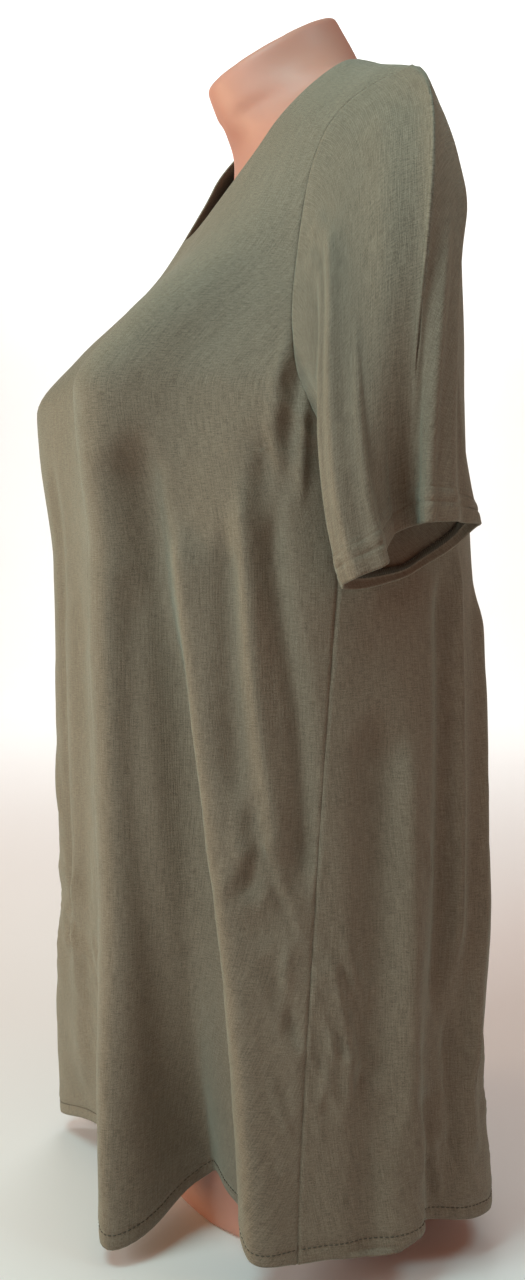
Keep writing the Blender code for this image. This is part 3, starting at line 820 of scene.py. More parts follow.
class Thread:
    """Stitches of thread, each a short rod that dips into the cloth at both ends."""

    radius, bow = 0.34 * MM, 0.55 * MM
    stitch, pitch = 2.5 * MM, 3.5 * MM
    dip = 0.45
    sides = 6
    cuts = (-0.36, -0.14, 0.14, 0.36)

    def __init__(self, finish: bpy.types.Material) -> None:
        """Models one stitch along Z, one unit long and two units thick.

        Args:
            finish: The thread's material.
        """
        self.finish = finish
        deselect_all()
        bpy.ops.mesh.primitive_cylinder_add(vertices=self.sides, radius=1.0, depth=1.0)
        rod = bpy.context.object
        bpy.ops.object.mode_set(mode="EDIT")
        for height in self.cuts:
            bpy.ops.mesh.select_all(action="SELECT")
            bpy.ops.mesh.bisect(plane_co=(0.0, 0.0, height), plane_no=(0.0, 0.0, 1.0))
        bpy.ops.object.mode_set(mode="OBJECT")
        self.rod = np.array([vertex.co for vertex in rod.data.vertices])
        self.faces = [tuple(face.vertices) for face in rod.data.polygons]
        bpy.data.objects.remove(rod)

    def sew(self, name: str, starts: Array, ends: Array, outward: Array) -> bpy.types.Object:
        """Makes one piece of all the stitches of a seam.

        Args:
            name: The piece's name.
            starts: Where each stitch leaves the cloth.
            ends: Where it goes in again.
            outward: The cloth's outward direction there.

        Returns:
            The piece.
        """
        along = ends - starts
        sideways = unit(np.cross(outward, along))
        lift = self.bow * (np.cos(np.pi * self.rod[:, 2]) - self.dip)
        up = self.rod[:, 1] * self.radius + lift
        aside = self.rod[:, 0] * self.radius
        middles = (starts + ends) / 2
        points = (
            middles[:, None] + along[:, None] * self.rod[None, :, 2:]
            + sideways[:, None] * aside[None, :, None] + outward[:, None] * up[None, :, None]
        )
        count = len(self.rod)
        faces = [
            tuple(i * count + corner for corner in face) for i in range(len(starts)) for face in self.faces
        ]
        mesh = bpy.data.meshes.new(name)
        mesh.from_pydata(points.reshape(-1, 3).tolist(), [], faces)
        mesh.shade_smooth()
        mesh.materials.append(self.finish)
        made = place_object(name, mesh)
        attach(made, BODY)
        LOG.info("%s: %d stitches", name, len(starts))
        return made

    def along(self, name: str, path: Array, outward: Array) -> bpy.types.Object:
        """Sews a row of stitches along a path on the cloth.

        Args:
            name: The piece's name.
            path: Close points of the path, in order.
            outward: The cloth's outward direction at each.

        Returns:
            The piece.
        """
        trail = np.concatenate([[0.0], np.cumsum(np.linalg.norm(np.diff(path, axis=0), axis=1))])
        starts = np.arange(0.0, trail[-1] - self.stitch, self.pitch)
        first, last, facing = (
            np.stack([np.interp(at, trail, column) for column in values.T], axis=-1)
            for at, values in ((starts, path), (starts + self.stitch, path), (starts, outward))
        )
        return self.sew(name, first, last, unit(facing))


class WallBuilder:
    """Collects a cloth's outer face and closes it into a thin wall with rounded edges."""

    def __init__(self) -> None:
        """Starts with no points and no faces."""
        self.points: list[Array] = []
        self.cloth_places: list[tuple[float, float]] = []
        self.thicknesses: list[float] = []
        self.faces: list[tuple[int, ...]] = []
        self.corner_places: dict[tuple[int, int], tuple[float, float]] = {}

    def add_row(self, points: Array, places: Array, thicknesses: Array) -> list[int]:
        """Adds a row of points.

        Args:
            points: The outer face's points.
            places: Their places on the flat cloth, in metres.
            thicknesses: The wall's thickness at each.

        Returns:
            The row's point numbers.
        """
        first = len(self.points)
        self.points.extend(points)
        self.cloth_places.extend(map(tuple, places))
        self.thicknesses.extend(thicknesses)
        return list(range(first, len(self.points)))

    def join_rows(self, low: Sequence[int], high: Sequence[int], flipped: bool) -> None:
        """Fills between two rows with faces that point outwards."""
        for a, b, c, d in zip(low, low[1:], high[1:], high):
            self.faces.append((d, c, b, a) if flipped else (a, b, c, d))

    def outward(self) -> Array:
        """Each point's outward direction, from the faces round it.

        Returns:
            The directions, of length one.
        """
        points = np.asarray(self.points)
        faces = np.asarray(self.faces)
        across = points[faces[:, 2]] - points[faces[:, 0]]
        up = points[faces[:, 3]] - points[faces[:, 1]]
        normals = np.cross(across, up)
        total = np.zeros_like(points)
        for corner in range(4):
            np.add.at(total, faces[:, corner], normals)
        return unit(total)

    def build(self, name: str) -> bpy.types.Object:
        """Makes the wall as an object with its places on the flat cloth as its UV map.

        Args:
            name: The piece's name.

        Returns:
            The piece.
        """
        points, outward = np.asarray(self.points), self.outward()
        thickness = np.asarray(self.thicknesses)[:, None]
        inside = points - outward * thickness
        rims = self.rims()
        rim_points = sorted({a for rim in rims for a in rim})
        off_edge = np.zeros(points.shape)
        for a, b in rims:
            sideways = np.cross(points[b] - points[a], outward[a] + outward[b])
            off_edge[a] += sideways
            off_edge[b] += sideways
        middle = (points + inside) / 2 + unit(off_edge) * thickness / 2
        count = len(points)
        number = {a: 2 * count + i for i, a in enumerate(rim_points)}
        inner = [tuple(i + count for i in face[::-1]) for face in self.faces]
        outer_rims = [(b, a, number[a], number[b]) for a, b in rims]
        inner_rims = [(number[b], number[a], a + count, b + count) for a, b in rims]
        faces = self.faces + inner + outer_rims + inner_rims
        mesh = bpy.data.meshes.new(name)
        mesh.from_pydata(np.concatenate([points, inside, middle[rim_points]]).tolist(), [], faces)
        places = np.asarray(self.cloth_places)
        every_place = np.concatenate([places, places, places[rim_points]])
        self.unfold(mesh, every_place[np.asarray(faces).ravel()])
        mesh.shade_smooth()
        mesh.update()
        return place_object(name, mesh)

    def rims(self) -> list[tuple[int, int]]:
        """The outer face's open edges, each in the direction of its own face."""
        edges = {(face[i - 1], face[i]) for face in self.faces for i in range(4)}
        return sorted((a, b) for a, b in edges if (b, a) not in edges)

    def unfold(self, mesh: bpy.types.Mesh, uv: Array) -> None:
        """Writes the places on the flat cloth as the mesh's UV map.

        Args:
            mesh: The wall's mesh.
            uv: The place of each corner of each face.
        """
        for (face, corner), place in self.corner_places.items():
            uv[face * 4 + corner] = place
            uv[(face + len(self.faces)) * 4 + 3 - corner] = place
        layer = mesh.uv_layers.new(name="cloth")
        layer.uv.foreach_set("vector", uv.astype(np.float32).ravel())


@dataclass
class Panel:
    """The front or back of the shirt, cut round the neckline and the armholes."""

    cloth: ShirtCloth
    face: Face
    name: str
    flat: tuple[float, float]
    area: float
    half_columns: int = 90
    hem_rows: int = 14
    skirt_rows: int = 132
    lower_armhole_rows: int = 38
    upper_armhole_rows: int = 50
    middle_pitch: float = 0.9
    seam_pitch: float = 0.35
    widest_angle: float = 125.0
    measured_points: int = 251
    stitch_path_points: int = 1200

    def row_levels(self) -> list[float]:
        """Every row's level: closer at the hem, the neckline's lowest point and the shoulder.

        Returns:
            The levels, from the hem up.
        """
        shape = self.cloth.shape
        hem_top = shape.hem + self.cloth.hem_height
        split = shape.neckline_rise(self.face)
        hem = np.linspace(shape.hem, hem_top, self.hem_rows, endpoint=False)
        skirt = np.linspace(hem_top, shape.underarm, self.skirt_rows, endpoint=False)
        lower_share = np.arange(self.lower_armhole_rows) / self.lower_armhole_rows
        lower = split * (1 - np.cos(np.pi / 2 * lower_share))
        turn = np.pi * np.arange(self.upper_armhole_rows + 1) / self.upper_armhole_rows
        upper = split + (1 - split) * (1 - np.cos(turn)) / 2
        return [*hem, *skirt, *shape.level_at(lower), *shape.level_at(upper)]

    def column_shares(self) -> Array:
        """Shares from the middle or neckline to the seam, closer together at the seam.

        Returns:
            The shares, from 0 to 1.
        """
        u = np.arange(self.half_columns + 1) / self.half_columns
        share = 3 * u**2 - 2 * u**3
        return share + self.middle_pitch * (u**3 - 2 * u**2 + u) + self.seam_pitch * (u**3 - u**2)

    def turned(self, angles: Array) -> Array:
        """Angles from the panel's own middle as angles from the middle of the front."""
        return 180.0 - angles if self.face is Face.BACK else angles

    def distance_across(self, level: float, angles: Array) -> Array:
        """How far along the row each angle lies from the middle of the panel.

        Args:
            level: The row's level.
            angles: The angles.

        Returns:
            The distances.
        """
        trail = np.linspace(0.0, self.widest_angle, self.measured_points)
        points = self.cloth.shape.point(level, self.turned(trail))
        steps = np.linalg.norm(np.diff(points, axis=0), axis=1)
        return np.interp(angles, trail, np.concatenate([[0.0], np.cumsum(steps)]))

    def build(self) -> bpy.types.Object:
        """Makes the panel.

        Returns:
            The panel as a thin wall of cloth.
        """
        wall, shape = WallBuilder(), self.cloth.shape
        shares, previous, height = self.column_shares(), None, 0.0
        levels = self.row_levels()
        for i, level in enumerate(levels):
            height += 0.0 if i == 0 else level - levels[i - 1]
            runs = []
            for side in Side:
                inner = shape.inner_angle(level, self.face, side)
                angles = inner + (shape.outer_angle(level, self.face) - inner) * shares
                across = self.distance_across(level, angles)
                points = self.cloth.outer(level, side.value * self.turned(angles))
                places = np.stack([side.value * across, np.full(across.shape, height)], axis=-1)
                runs.append((points, places, self.thickness(level, across)))
            left, right = runs[0], [part[::-1] for part in runs[1]]
            right_numbers = wall.add_row(*right)
            if inner > 0.0:
                left_numbers = wall.add_row(*left)
            else:
                left_numbers = right_numbers[-1:] + wall.add_row(*(part[1:] for part in left))
            if previous:
                for low, high in zip(previous, (right_numbers, left_numbers)):
                    wall.join_rows(low, high, self.face is Face.BACK)
            previous = (right_numbers, left_numbers)
        LOG.info("%s: %d faces", self.name, len(wall.faces))
        return wall.build(self.name)

    def thickness(self, level: float, across: Array) -> Array:
        """The wall's thickness along a row, doubled where the hem and neckline are turned in.

        Args:
            level: The row's level.
            across: Each point's distance from the panel's middle.

        Returns:
            The thickness at each point.
        """
        single, double = self.cloth.wall, self.cloth.turned_wall
        if level < self.cloth.shape.hem + self.cloth.hem_turn_in:
            return np.full(across.shape, double)
        if across[0] > 0.0:
            return np.where(across - across[0] < self.cloth.neckline_turn, double, single)
        return np.full(across.shape, single)

    def sew(self, thread: Thread) -> None:
        """Sews the hem's stitch row from one side seam to the other.

        Args:
            thread: The thread to sew with.
        """
        level = self.cloth.shape.hem + self.cloth.hem_stitch_row
        end = self.cloth.shape.outer_angle(level, self.face)
        angles = np.linspace(-end, end, self.stitch_path_points)
        turned = self.turned(angles)
        path, outward = self.cloth.outer(level, turned), self.cloth.shape.normal(level, turned)
        thread.along(f"{self.name}_hem_stitches", path, outward)

    def declare(self, made: bpy.types.Object) -> None:
        """Hides the imported part that the panel replaces and fixes the panel to the body.

        Args:
            made: The built panel.
        """
        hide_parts(self.face.value)
        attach(made, BODY)


SLEEVE_CREASES = {
    "crest of the rear lobe": Crease(((-0.10, 337), (-0.20, 335.5), (-0.283, 334)), 0.0045, 0.0018, 0.3),
    "trough before the rear lobe": Crease(((-0.12, 350), (-0.20, 351), (-0.283, 351)), 0.0060, -0.0022),
    "rear edge of the front lobe": Crease(((-0.15, 53), (-0.22, 56), (-0.283, 60)), 0.0050, 0.0020, -0.3),
    "soft ridge of the cap": Crease(((-0.03, 24), (-0.12, 26), (-0.24, 30)), 0.011, 0.0028),
    "soft trough of the cap": Crease(((-0.02, 5), (-0.10, 4), (-0.20, 6)), 0.010, -0.0032),
    "front ridge": Crease(((-0.05, 76), (-0.15, 80), (-0.26, 84)), 0.009, 0.0024),
    "back ridge": Crease(((-0.04, 318), (-0.14, 314), (-0.25, 312)), 0.009, 0.0024),
    "back trough": Crease(((-0.06, 300), (-0.16, 298), (-0.27, 296)), 0.009, -0.0028),
    "inner ridge": Crease(((-0.05, 200), (-0.15, 198), (-0.26, 205)), 0.010, 0.0024),
    "drag from the front armhole": Crease(((-0.010, 92), (-0.045, 84), (-0.085, 80)), 0.0055, 0.0020),
    "second drag from the armhole": Crease(((-0.012, 108), (-0.040, 101), (-0.075, 97)), 0.0050, 0.0018),
}


@dataclass
class Sleeve:
    """One short sleeve, which hangs empty from its armhole in soft lobes."""

    cloth: ShirtCloth
    side: Side
    flat: tuple[float, float] = (0.33, 0.30)
    area: float = 0.062
    columns: int = 216
    rows: int = 102
    hem_rows: int = 24
    centre: tuple[float, float, float] = (0.224, 0.028, 0.474)
    half_width: float = 0.029
    half_depth: float = 0.047
    length: float = 0.280
    upper_stitch_row: float = 18.5 * MM
    lower_stitch_row: float = 10.5 * MM

    cuff_slope_out, cuff_slope_back = 0.30, 0.38
    cap_reach, underarm_reach = 0.075, 0.030
    cuff_reach_outer, cuff_reach_inner = 0.120, 0.030
    cap_drop, underarm_drop = 0.42, 0.35
    turn_in_back, turn_in_front, turn_in_growth = -0.35, 0.10, 0.50
    fold_growth = 2.5
    cap_softness = 24
    armhole_steps = 240
    mean_radius = 0.0425
    unevenness_share, other_side = 0.7, 3.0
    seam_groove, seam_groove_width = 0.8 * MM, 1.3 * MM
    head_bulge, bulge_turn, bulge_width, bulge_share, bulge_reach = 4.5 * MM, 318.0, 32.0, 0.24, 0.16
    calm_length = 0.030
    cap_pucker, cap_lift, cap_groove_width = 0.8 * MM, 1.2 * MM, 1.6 * MM
    cuff_swell, cuff_swell_middle, cuff_swell_width = 0.5 * MM, 9 * MM, 8 * MM
    dent, dent_change, dent_width = 0.75, 0.25, 1.5 * MM
    step_turn, step_share = 0.05, 1e-3
    stitch_path_points, cover_step, cover_gap = 1200, 5, 0.1 * MM
    cap_seed, cuff_seed = 9.9, 2.5
    hem_band = 1.2
    flat_cuff, flat_growth = 0.27, 0.10

    def __post_init__(self) -> None:
        """Draws the cuff's curves and measures the armhole that the sleeve is sewn into."""
        self.name = f"{self.side.name.lower()}_sleeve_cloth"
        self.node = f"sleeve_{self.side.name.lower()}"
        laps = [replace(place, turn=place.turn + lap) for lap in (-360.0, 0.0, 360.0) for place in CUFF]
        names = ("out", "back", "height", "lead")
        self.cuff = {name: SmoothCurve.column(laps, "turn", name) for name in names}
        self.measure_armhole()

    def measure_armhole(self) -> None:
        """Walks round the armhole from the shoulder tip, down the front and up the back."""
        shape, side = self.cloth.shape, self.side.value
        spread = (1 - np.cos(np.pi * np.arange(self.armhole_steps + 1) / self.armhole_steps)) / 2
        rises = np.concatenate([spread[::-1], spread[1:-1]])
        on_back = np.arange(len(rises)) >= len(spread)
        front, back = (shape.armhole_inset(rises, face) for face in Face)
        angle = side * np.where(on_back, 90.0 + back, 90.0 - front)
        levels = shape.level_at(rises)
        edge = self.cloth.outer(levels, angle)
        smooth_edge = shape.point(levels, angle)
        height = 2.0 * rises - 1.0
        turn_in = np.where(on_back, self.turn_in_back, self.turn_in_front + self.turn_in_growth * rises)
        sideways = np.sqrt(np.maximum(0.0, 1.0 - height**2)) * turn_in
        down = -self.cap_drop * np.maximum(height, 0.0) - self.underarm_drop * np.maximum(-height, 0.0)
        away = unit(np.stack([np.full(rises.shape, float(side)), sideways, down], axis=-1))
        lengths = np.linalg.norm(np.roll(smooth_edge, -1, axis=0) - smooth_edge, axis=1)
        turns = 360.0 * np.concatenate([[0.0], np.cumsum(lengths)]) / lengths.sum()
        facts = np.concatenate([edge, self.evened(turns, away), rises[:, None]], axis=1)
        self.armhole_turns, self.armhole_facts = turns, np.concatenate([facts, facts[:1]])

    def evened(self, turns: Array, away: Array) -> Array:
        """The ways that the sleeve leaves the armhole, evened out so that its cap has no ridge.

        Args:
            turns: Rising turns round the armhole, from 0 to 360.
            away: The direction at each, without the last.

        Returns:
            The evened directions.
        """
        whole = np.concatenate([away, away[:1]])
        even = np.arange(360.0)
        reach = np.arange(-self.cap_softness * 2, self.cap_softness * 2 + 1)
        share = bell(reach, self.cap_softness)
        columns = []
        for column in whole.T:
            level = np.interp((even[:, None] + reach) % 360.0, turns, column)
            smooth = level @ share / share.sum()
            columns.append(np.interp(turns[:-1], np.append(even, 360.0), np.append(smooth, smooth[0])))
        return unit(np.stack(columns, axis=-1))

    def at_armhole(self, turn: Array) -> tuple[Array, Array, Array]:
        """The armhole at turns round it.

        Args:
            turn: The turns, in degrees.

        Returns:
            Its edge, the way that the sleeve leaves it, and its rise.
        """
        columns = [np.interp(turn, self.armhole_turns, column) for column in self.armhole_facts.T]
        facts = np.stack(columns, axis=-1)
        return facts[..., :3], unit(facts[..., 3:6]), facts[..., 6]

    def smooth_point(self, turn: Array, share: Array) -> Array:
        """Points of the sleeve without its creases, for turns round it and shares of its length.

        Args:
            turn: Turns round the sleeve, in degrees.
            share: Shares of its length.

        Returns:
            The points.
        """
        turn, share = paired(np.asarray(turn) % 360.0, share)
        start, away, rise = self.at_armhole(turn)
        across = self.half_width * np.cos(np.radians(turn))
        back = -self.half_depth * np.sin(np.radians(turn))
        x, y, z = self.centre
        tilt = self.cuff_slope_out * across + self.cuff_slope_back * back
        oval = np.stack([x + across, y + back, z + tilt], axis=-1)
        folded = np.stack([self.cuff[name](turn) for name in ("out", "back", "height")], axis=-1)
        end = oval + (folded - oval) * (share**self.fold_growth)[..., None]
        end = end * (self.side.value, 1.0, 1.0)
        drop = self.cuff_reach_inner + (self.cuff_reach_outer - self.cuff_reach_inner) * rise
        above_end = end + np.stack([0 * drop, -self.cuff["lead"](turn), drop], axis=-1)
        reach = (self.underarm_reach + (self.cap_reach - self.underarm_reach) * rise)[..., None]
        t = share[..., None]
        points = start * (1 - t) ** 3 + (start + away * reach) * 3 * t * (1 - t) ** 2
        return points + above_end * 3 * t**2 * (1 - t) + end * t**3

    def relief(self, turn: Array, share: Array) -> Array:
        """The height of creases, hem and seam over the smooth sleeve.

        Args:
            turn: Turns round the sleeve, in degrees.
            share: Shares of its length.

        Returns:
            The heights.
        """
        turn, share = paired(np.asarray(turn) % 360.0, share)
        metre = math.radians(self.mean_radius)
        from_seam, above_cuff = share * self.length, (1.0 - share) * self.length
        ring = np.radians(turn)
        sideways = self.half_depth * np.cos(ring) + self.other_side * self.side.value
        up = -share * self.length
        uneven = self.cloth.unevenness(sideways, up + self.half_depth * np.sin(ring))
        total = uneven * self.unevenness_share
        for crease in SLEEVE_CREASES.values():
            total = total + crease.relief(up, turn, metre)
        total = total - self.seam_groove * bell(turn_between(turn, 180.0) * metre, self.seam_groove_width)
        bulge = self.head_bulge * bell(turn_between(turn, self.bulge_turn), self.bulge_width)
        total = total + bulge * bell(share - self.bulge_share, self.bulge_reach)
        total = total * np.clip(from_seam / self.calm_length, 0.0, 1.0)
        lap = self.cloth.seam_noise.size / 360.0
        noise = self.cloth.seam_noise(turn * lap, self.cap_seed)
        beside = 1.0 - bell(from_seam, self.cap_groove_width)
        puckers = np.exp(-from_seam / self.cloth.pucker_reach) * beside
        total = total + (self.cap_pucker * noise + self.cap_lift) * puckers
        total = total + self.cuff_swell * bell(above_cuff - self.cuff_swell_middle, self.cuff_swell_width)
        stitch_rows = (self.lower_stitch_row, self.upper_stitch_row)
        dents = sum(bell(above_cuff - row, self.dent_width) for row in stitch_rows)
        pull = self.cloth.seam_noise(turn * lap, self.cuff_seed)
        return total - (self.dent + self.dent_change * pull) * MM * dents

    def outward(self, turn: Array, share: Array) -> Array:
        """The smooth sleeve's outward direction.

        Args:
            turn: Turns round the sleeve, in degrees.
            share: Shares of its length.

        Returns:
            The directions, of length one.
        """
        before = self.smooth_point(turn, np.maximum(np.asarray(share) - self.step_share, 0.0))
        after = self.smooth_point(turn, np.minimum(np.asarray(share) + self.step_share, 1.0))
        around = self.smooth_point(np.asarray(turn) + self.step_turn, share)
        around = around - self.smooth_point(np.asarray(turn) - self.step_turn, share)
        return unit(self.side.value * np.cross(around, after - before))

    def outer(self, turn: Array, share: Array) -> Array:
        """Points of the sleeve's outer face."""
        lift = self.relief(turn, share)[..., None]
        return self.smooth_point(turn, share) + lift * self.outward(turn, share)

    def sew(self, thread: Thread) -> None:
        """Sews the hem's twin rows outside and the threads that join them inside.

        Args:
            thread: The thread to sew with.
        """
        turns = np.linspace(0.0, 360.0, self.stitch_path_points)
        under = self.cloth.turned_wall + self.cover_gap
        inside = []
        for row, height in (("lower", self.lower_stitch_row), ("upper", self.upper_stitch_row)):
            share = 1.0 - height / self.length
            path, outward = self.outer(turns, share), self.outward(turns, share)
            thread.along(f"{self.name}_{row}_stitches", path, outward)
            inside.append((path - outward * under, -outward))
        (low, facing), (high, _) = inside
        here = np.arange(0, len(turns) - self.cover_step, self.cover_step)
        there = here + self.cover_step
        starts, ends = np.concatenate([low[here], high[there]]), np.concatenate([high[there], low[there]])
        thread.sew(f"{self.name}_cover_threads", starts, ends, np.concatenate([facing[here], facing[here]]))

    def build(self) -> bpy.types.Object:
        """Makes the sleeve as a thin wall of cloth.

        Returns:
            The sleeve.
        """
        wall = WallBuilder()
        turns = 360.0 * np.arange(self.columns) / self.columns
        hem_share = 1.0 - self.cloth.hem_height * self.hem_band / self.length
        above = np.linspace(0.0, hem_share, self.rows - self.hem_rows, endpoint=False)
        previous = None
        for share in (*above, *np.linspace(hem_share, 1.0, self.hem_rows + 1)):
            height = (1.0 - share) * self.length
            round_cuff = turns / 360.0 * (self.flat_cuff + self.flat_growth * (1.0 - share))
            places = np.stack([round_cuff, np.full(turns.shape, height)], axis=-1)
            thickness = self.cloth.turned_wall if height < self.cloth.hem_height else self.cloth.wall
            row = wall.add_row(self.outer(turns, share), places, np.full(turns.shape, thickness))
            if previous:
                wall.join_rows(previous + previous[:1], row + row[:1], self.side is Side.LEFT)
                last = len(wall.faces) - 1
                width = round_cuff[-1] + round_cuff[1]
                for corner, number in enumerate(wall.faces[last]):
                    if number in (previous[0], row[0]):
                        wall.corner_places[(last, corner)] = (width, wall.cloth_places[number][1])
            previous = row
        LOG.info("%s: %d faces", self.name, len(wall.faces))
        return wall.build(self.name)

    def declare(self, made: bpy.types.Object) -> None:
        """Hides the imported part that the sleeve replaces and fixes the sleeve to the body.

        Args:
            made: The built sleeve.
        """
        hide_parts(self.node)
        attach(made, BODY)


def place_object(name: str, data: bpy.types.ID) -> bpy.types.Object:
    """Adds an object to the scene, at the origin.

    Args:
        name: The object's name.
        data: Its mesh, light or camera.

    Returns:
        The object.
    """
    made = bpy.data.objects.new(name, data)
    bpy.context.scene.collection.objects.link(made)
    return made


def deselect_all() -> None:
    """Leaves nothing selected, in object mode."""
    if bpy.context.object and bpy.context.object.mode != "OBJECT":
        bpy.ops.object.mode_set(mode="OBJECT")
    bpy.ops.object.select_all(action="DESELECT")


def select_only(piece: bpy.types.Object) -> None:
    """Makes a piece the only selected and active one.

    Args:
        piece: The piece.
    """
    deselect_all()
    piece.select_set(True)
    bpy.context.view_layer.objects.active = piece


@dataclass
class DressForm:
    """The limbless torso with its leaning neck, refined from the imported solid."""

    name: str = "torso_form"
    node: str = "dress_form"
    joining_distance: float = 0.00005
    quad_angle: float = 60.0
    smoothing_levels: int = 2

    def build(self) -> bpy.types.Object:
        """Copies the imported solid, joins its facets into quads and smooths them.

        Returns:
            The form.
        """
        made = place_object(self.name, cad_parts[self.node].data.copy())
        select_only(made)
        widest = math.radians(self.quad_angle)
        bpy.ops.object.mode_set(mode="EDIT")
        bpy.ops.mesh.select_all(action="SELECT")
        bpy.ops.mesh.remove_doubles(threshold=self.joining_distance)
        bpy.ops.mesh.tris_convert_to_quads(face_threshold=widest, shape_threshold=widest)
        bpy.ops.mesh.normals_make_consistent(inside=False)
        bpy.ops.object.mode_set(mode="OBJECT")
        smoothing = made.modifiers.new("smoothing", "SUBSURF")
        smoothing.levels = smoothing.render_levels = self.smoothing_levels
        bpy.ops.object.modifier_apply(modifier=smoothing.name)
        bpy.ops.object.shade_smooth()
        LOG.info("%s: %d faces", self.name, len(made.data.polygons))
        return made

    def declare(self, made: bpy.types.Object) -> None:
        """Hides the imported solid that the form stands for and fixes the form to the body.

        Args:
            made: The built form.
        """
        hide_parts(self.node)
        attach(made, BODY)


class Value:
    """A shader value that ordinary arithmetic works on."""

    def __init__(self, board: "NodeBoard", socket: bpy.types.NodeSocket) -> None:
        """Keeps the board that the value is on and its socket."""
        self.board, self.socket = board, socket

    def maths(self, operation: str, *others: "Value | float", swapped: bool = False) -> "Value":
        """The value with a Math node's operation on it."""
        terms = (*others, self) if swapped else (self, *others)
        return self.board.add("ShaderNodeMath", {"operation": operation}, dict(enumerate(terms)))

    def __add__(self, other: "Value | float") -> "Value":
        """The sum."""
        return self.maths("ADD", other)

    __radd__ = __add__

    def __sub__(self, other: "Value | float") -> "Value":
        """The difference."""
        return self.maths("SUBTRACT", other)

    def __rsub__(self, other: float) -> "Value":
        """The difference from a number."""
        return self.maths("SUBTRACT", other, swapped=True)

    def __mul__(self, other: "Value | float") -> "Value":
        """The product."""
        return self.maths("MULTIPLY", other)

    __rmul__ = __mul__


class NodeBoard:
    """The node tree of a material or of the surroundings, filled through one method."""

    def __init__(self, owner: "bpy.types.Material | bpy.types.World", shader: str) -> None:
        """Starts with the owner's shader and nothing else.

        Args:
            owner: The material or the surroundings.
            shader: The name of its shader node.
        """
        self.owner = owner
        owner.use_nodes = True
        self.tree = owner.node_tree
        self.shader = self.tree.nodes[shader]

    @classmethod
    def for_finish(cls, name: str) -> "NodeBoard":
        """The board of a new material."""
        return cls(bpy.data.materials.new(name), "Principled BSDF")

    def add(
        self, kind: str, settings: dict[str, object], sockets: dict["int | str", object], output: int = 0
    ) -> Value:
        """Adds a node.

        Args:
            kind: The node's type.
            settings: Its settings, which are set before its sockets.
            sockets: A value, number or colour for each socket, by its name or number.
            output: Which of its outputs is wanted.

        Returns:
            The wanted output.
        """
        node = self.tree.nodes.new(kind)
        for key, setting in settings.items():
            setattr(node, key, setting)
        for key, value in sockets.items():
            self.fill(node.inputs[key], value)
        return Value(self, node.outputs[output])

    def fill(self, socket: bpy.types.NodeSocket, value: object) -> None:
        """Links a value to a socket, or sets the socket's own number or colour.

        Args:
            socket: The socket.
            value: What it gets.
        """
        if isinstance(value, Value):
            self.tree.links.new(value.socket, socket)
        else:
            socket.default_value = value

    def shade(self, sockets: dict[str, object]) -> None:
        """Fills the shader's own sockets, by their names."""
        for key, value in sockets.items():
            self.fill(self.shader.inputs[key], value)

    def mix_colours(self, factor: Value, low: Colour, high: Colour) -> Value:
        """A colour between two, by a factor."""
        return self.add("ShaderNodeMix", {"data_type": "RGBA"}, {0: factor, 6: low, 7: high}, output=2)

    def own_place(self) -> Value:
        """Each point's place in the object's own coordinates."""
        return self.add("ShaderNodeTexCoord", {}, {}, output=3)

    def noise(self, place: Value, scale: float, detail: float = 2.0, dimensions: str = "3D") -> Value:
        """Noise over a place, from 0 to 1."""
        sockets = {"Vector": place, "Scale": scale, "Detail": detail}
        return self.add("ShaderNodeTexNoise", {"noise_dimensions": dimensions}, sockets)

    def bump(self, height: Value, strength: float, distance: float) -> Value:
        """The surface's direction with a fine relief on it."""
        return self.add("ShaderNodeBump", {}, {"Strength": strength, "Distance": distance, "Height": height})


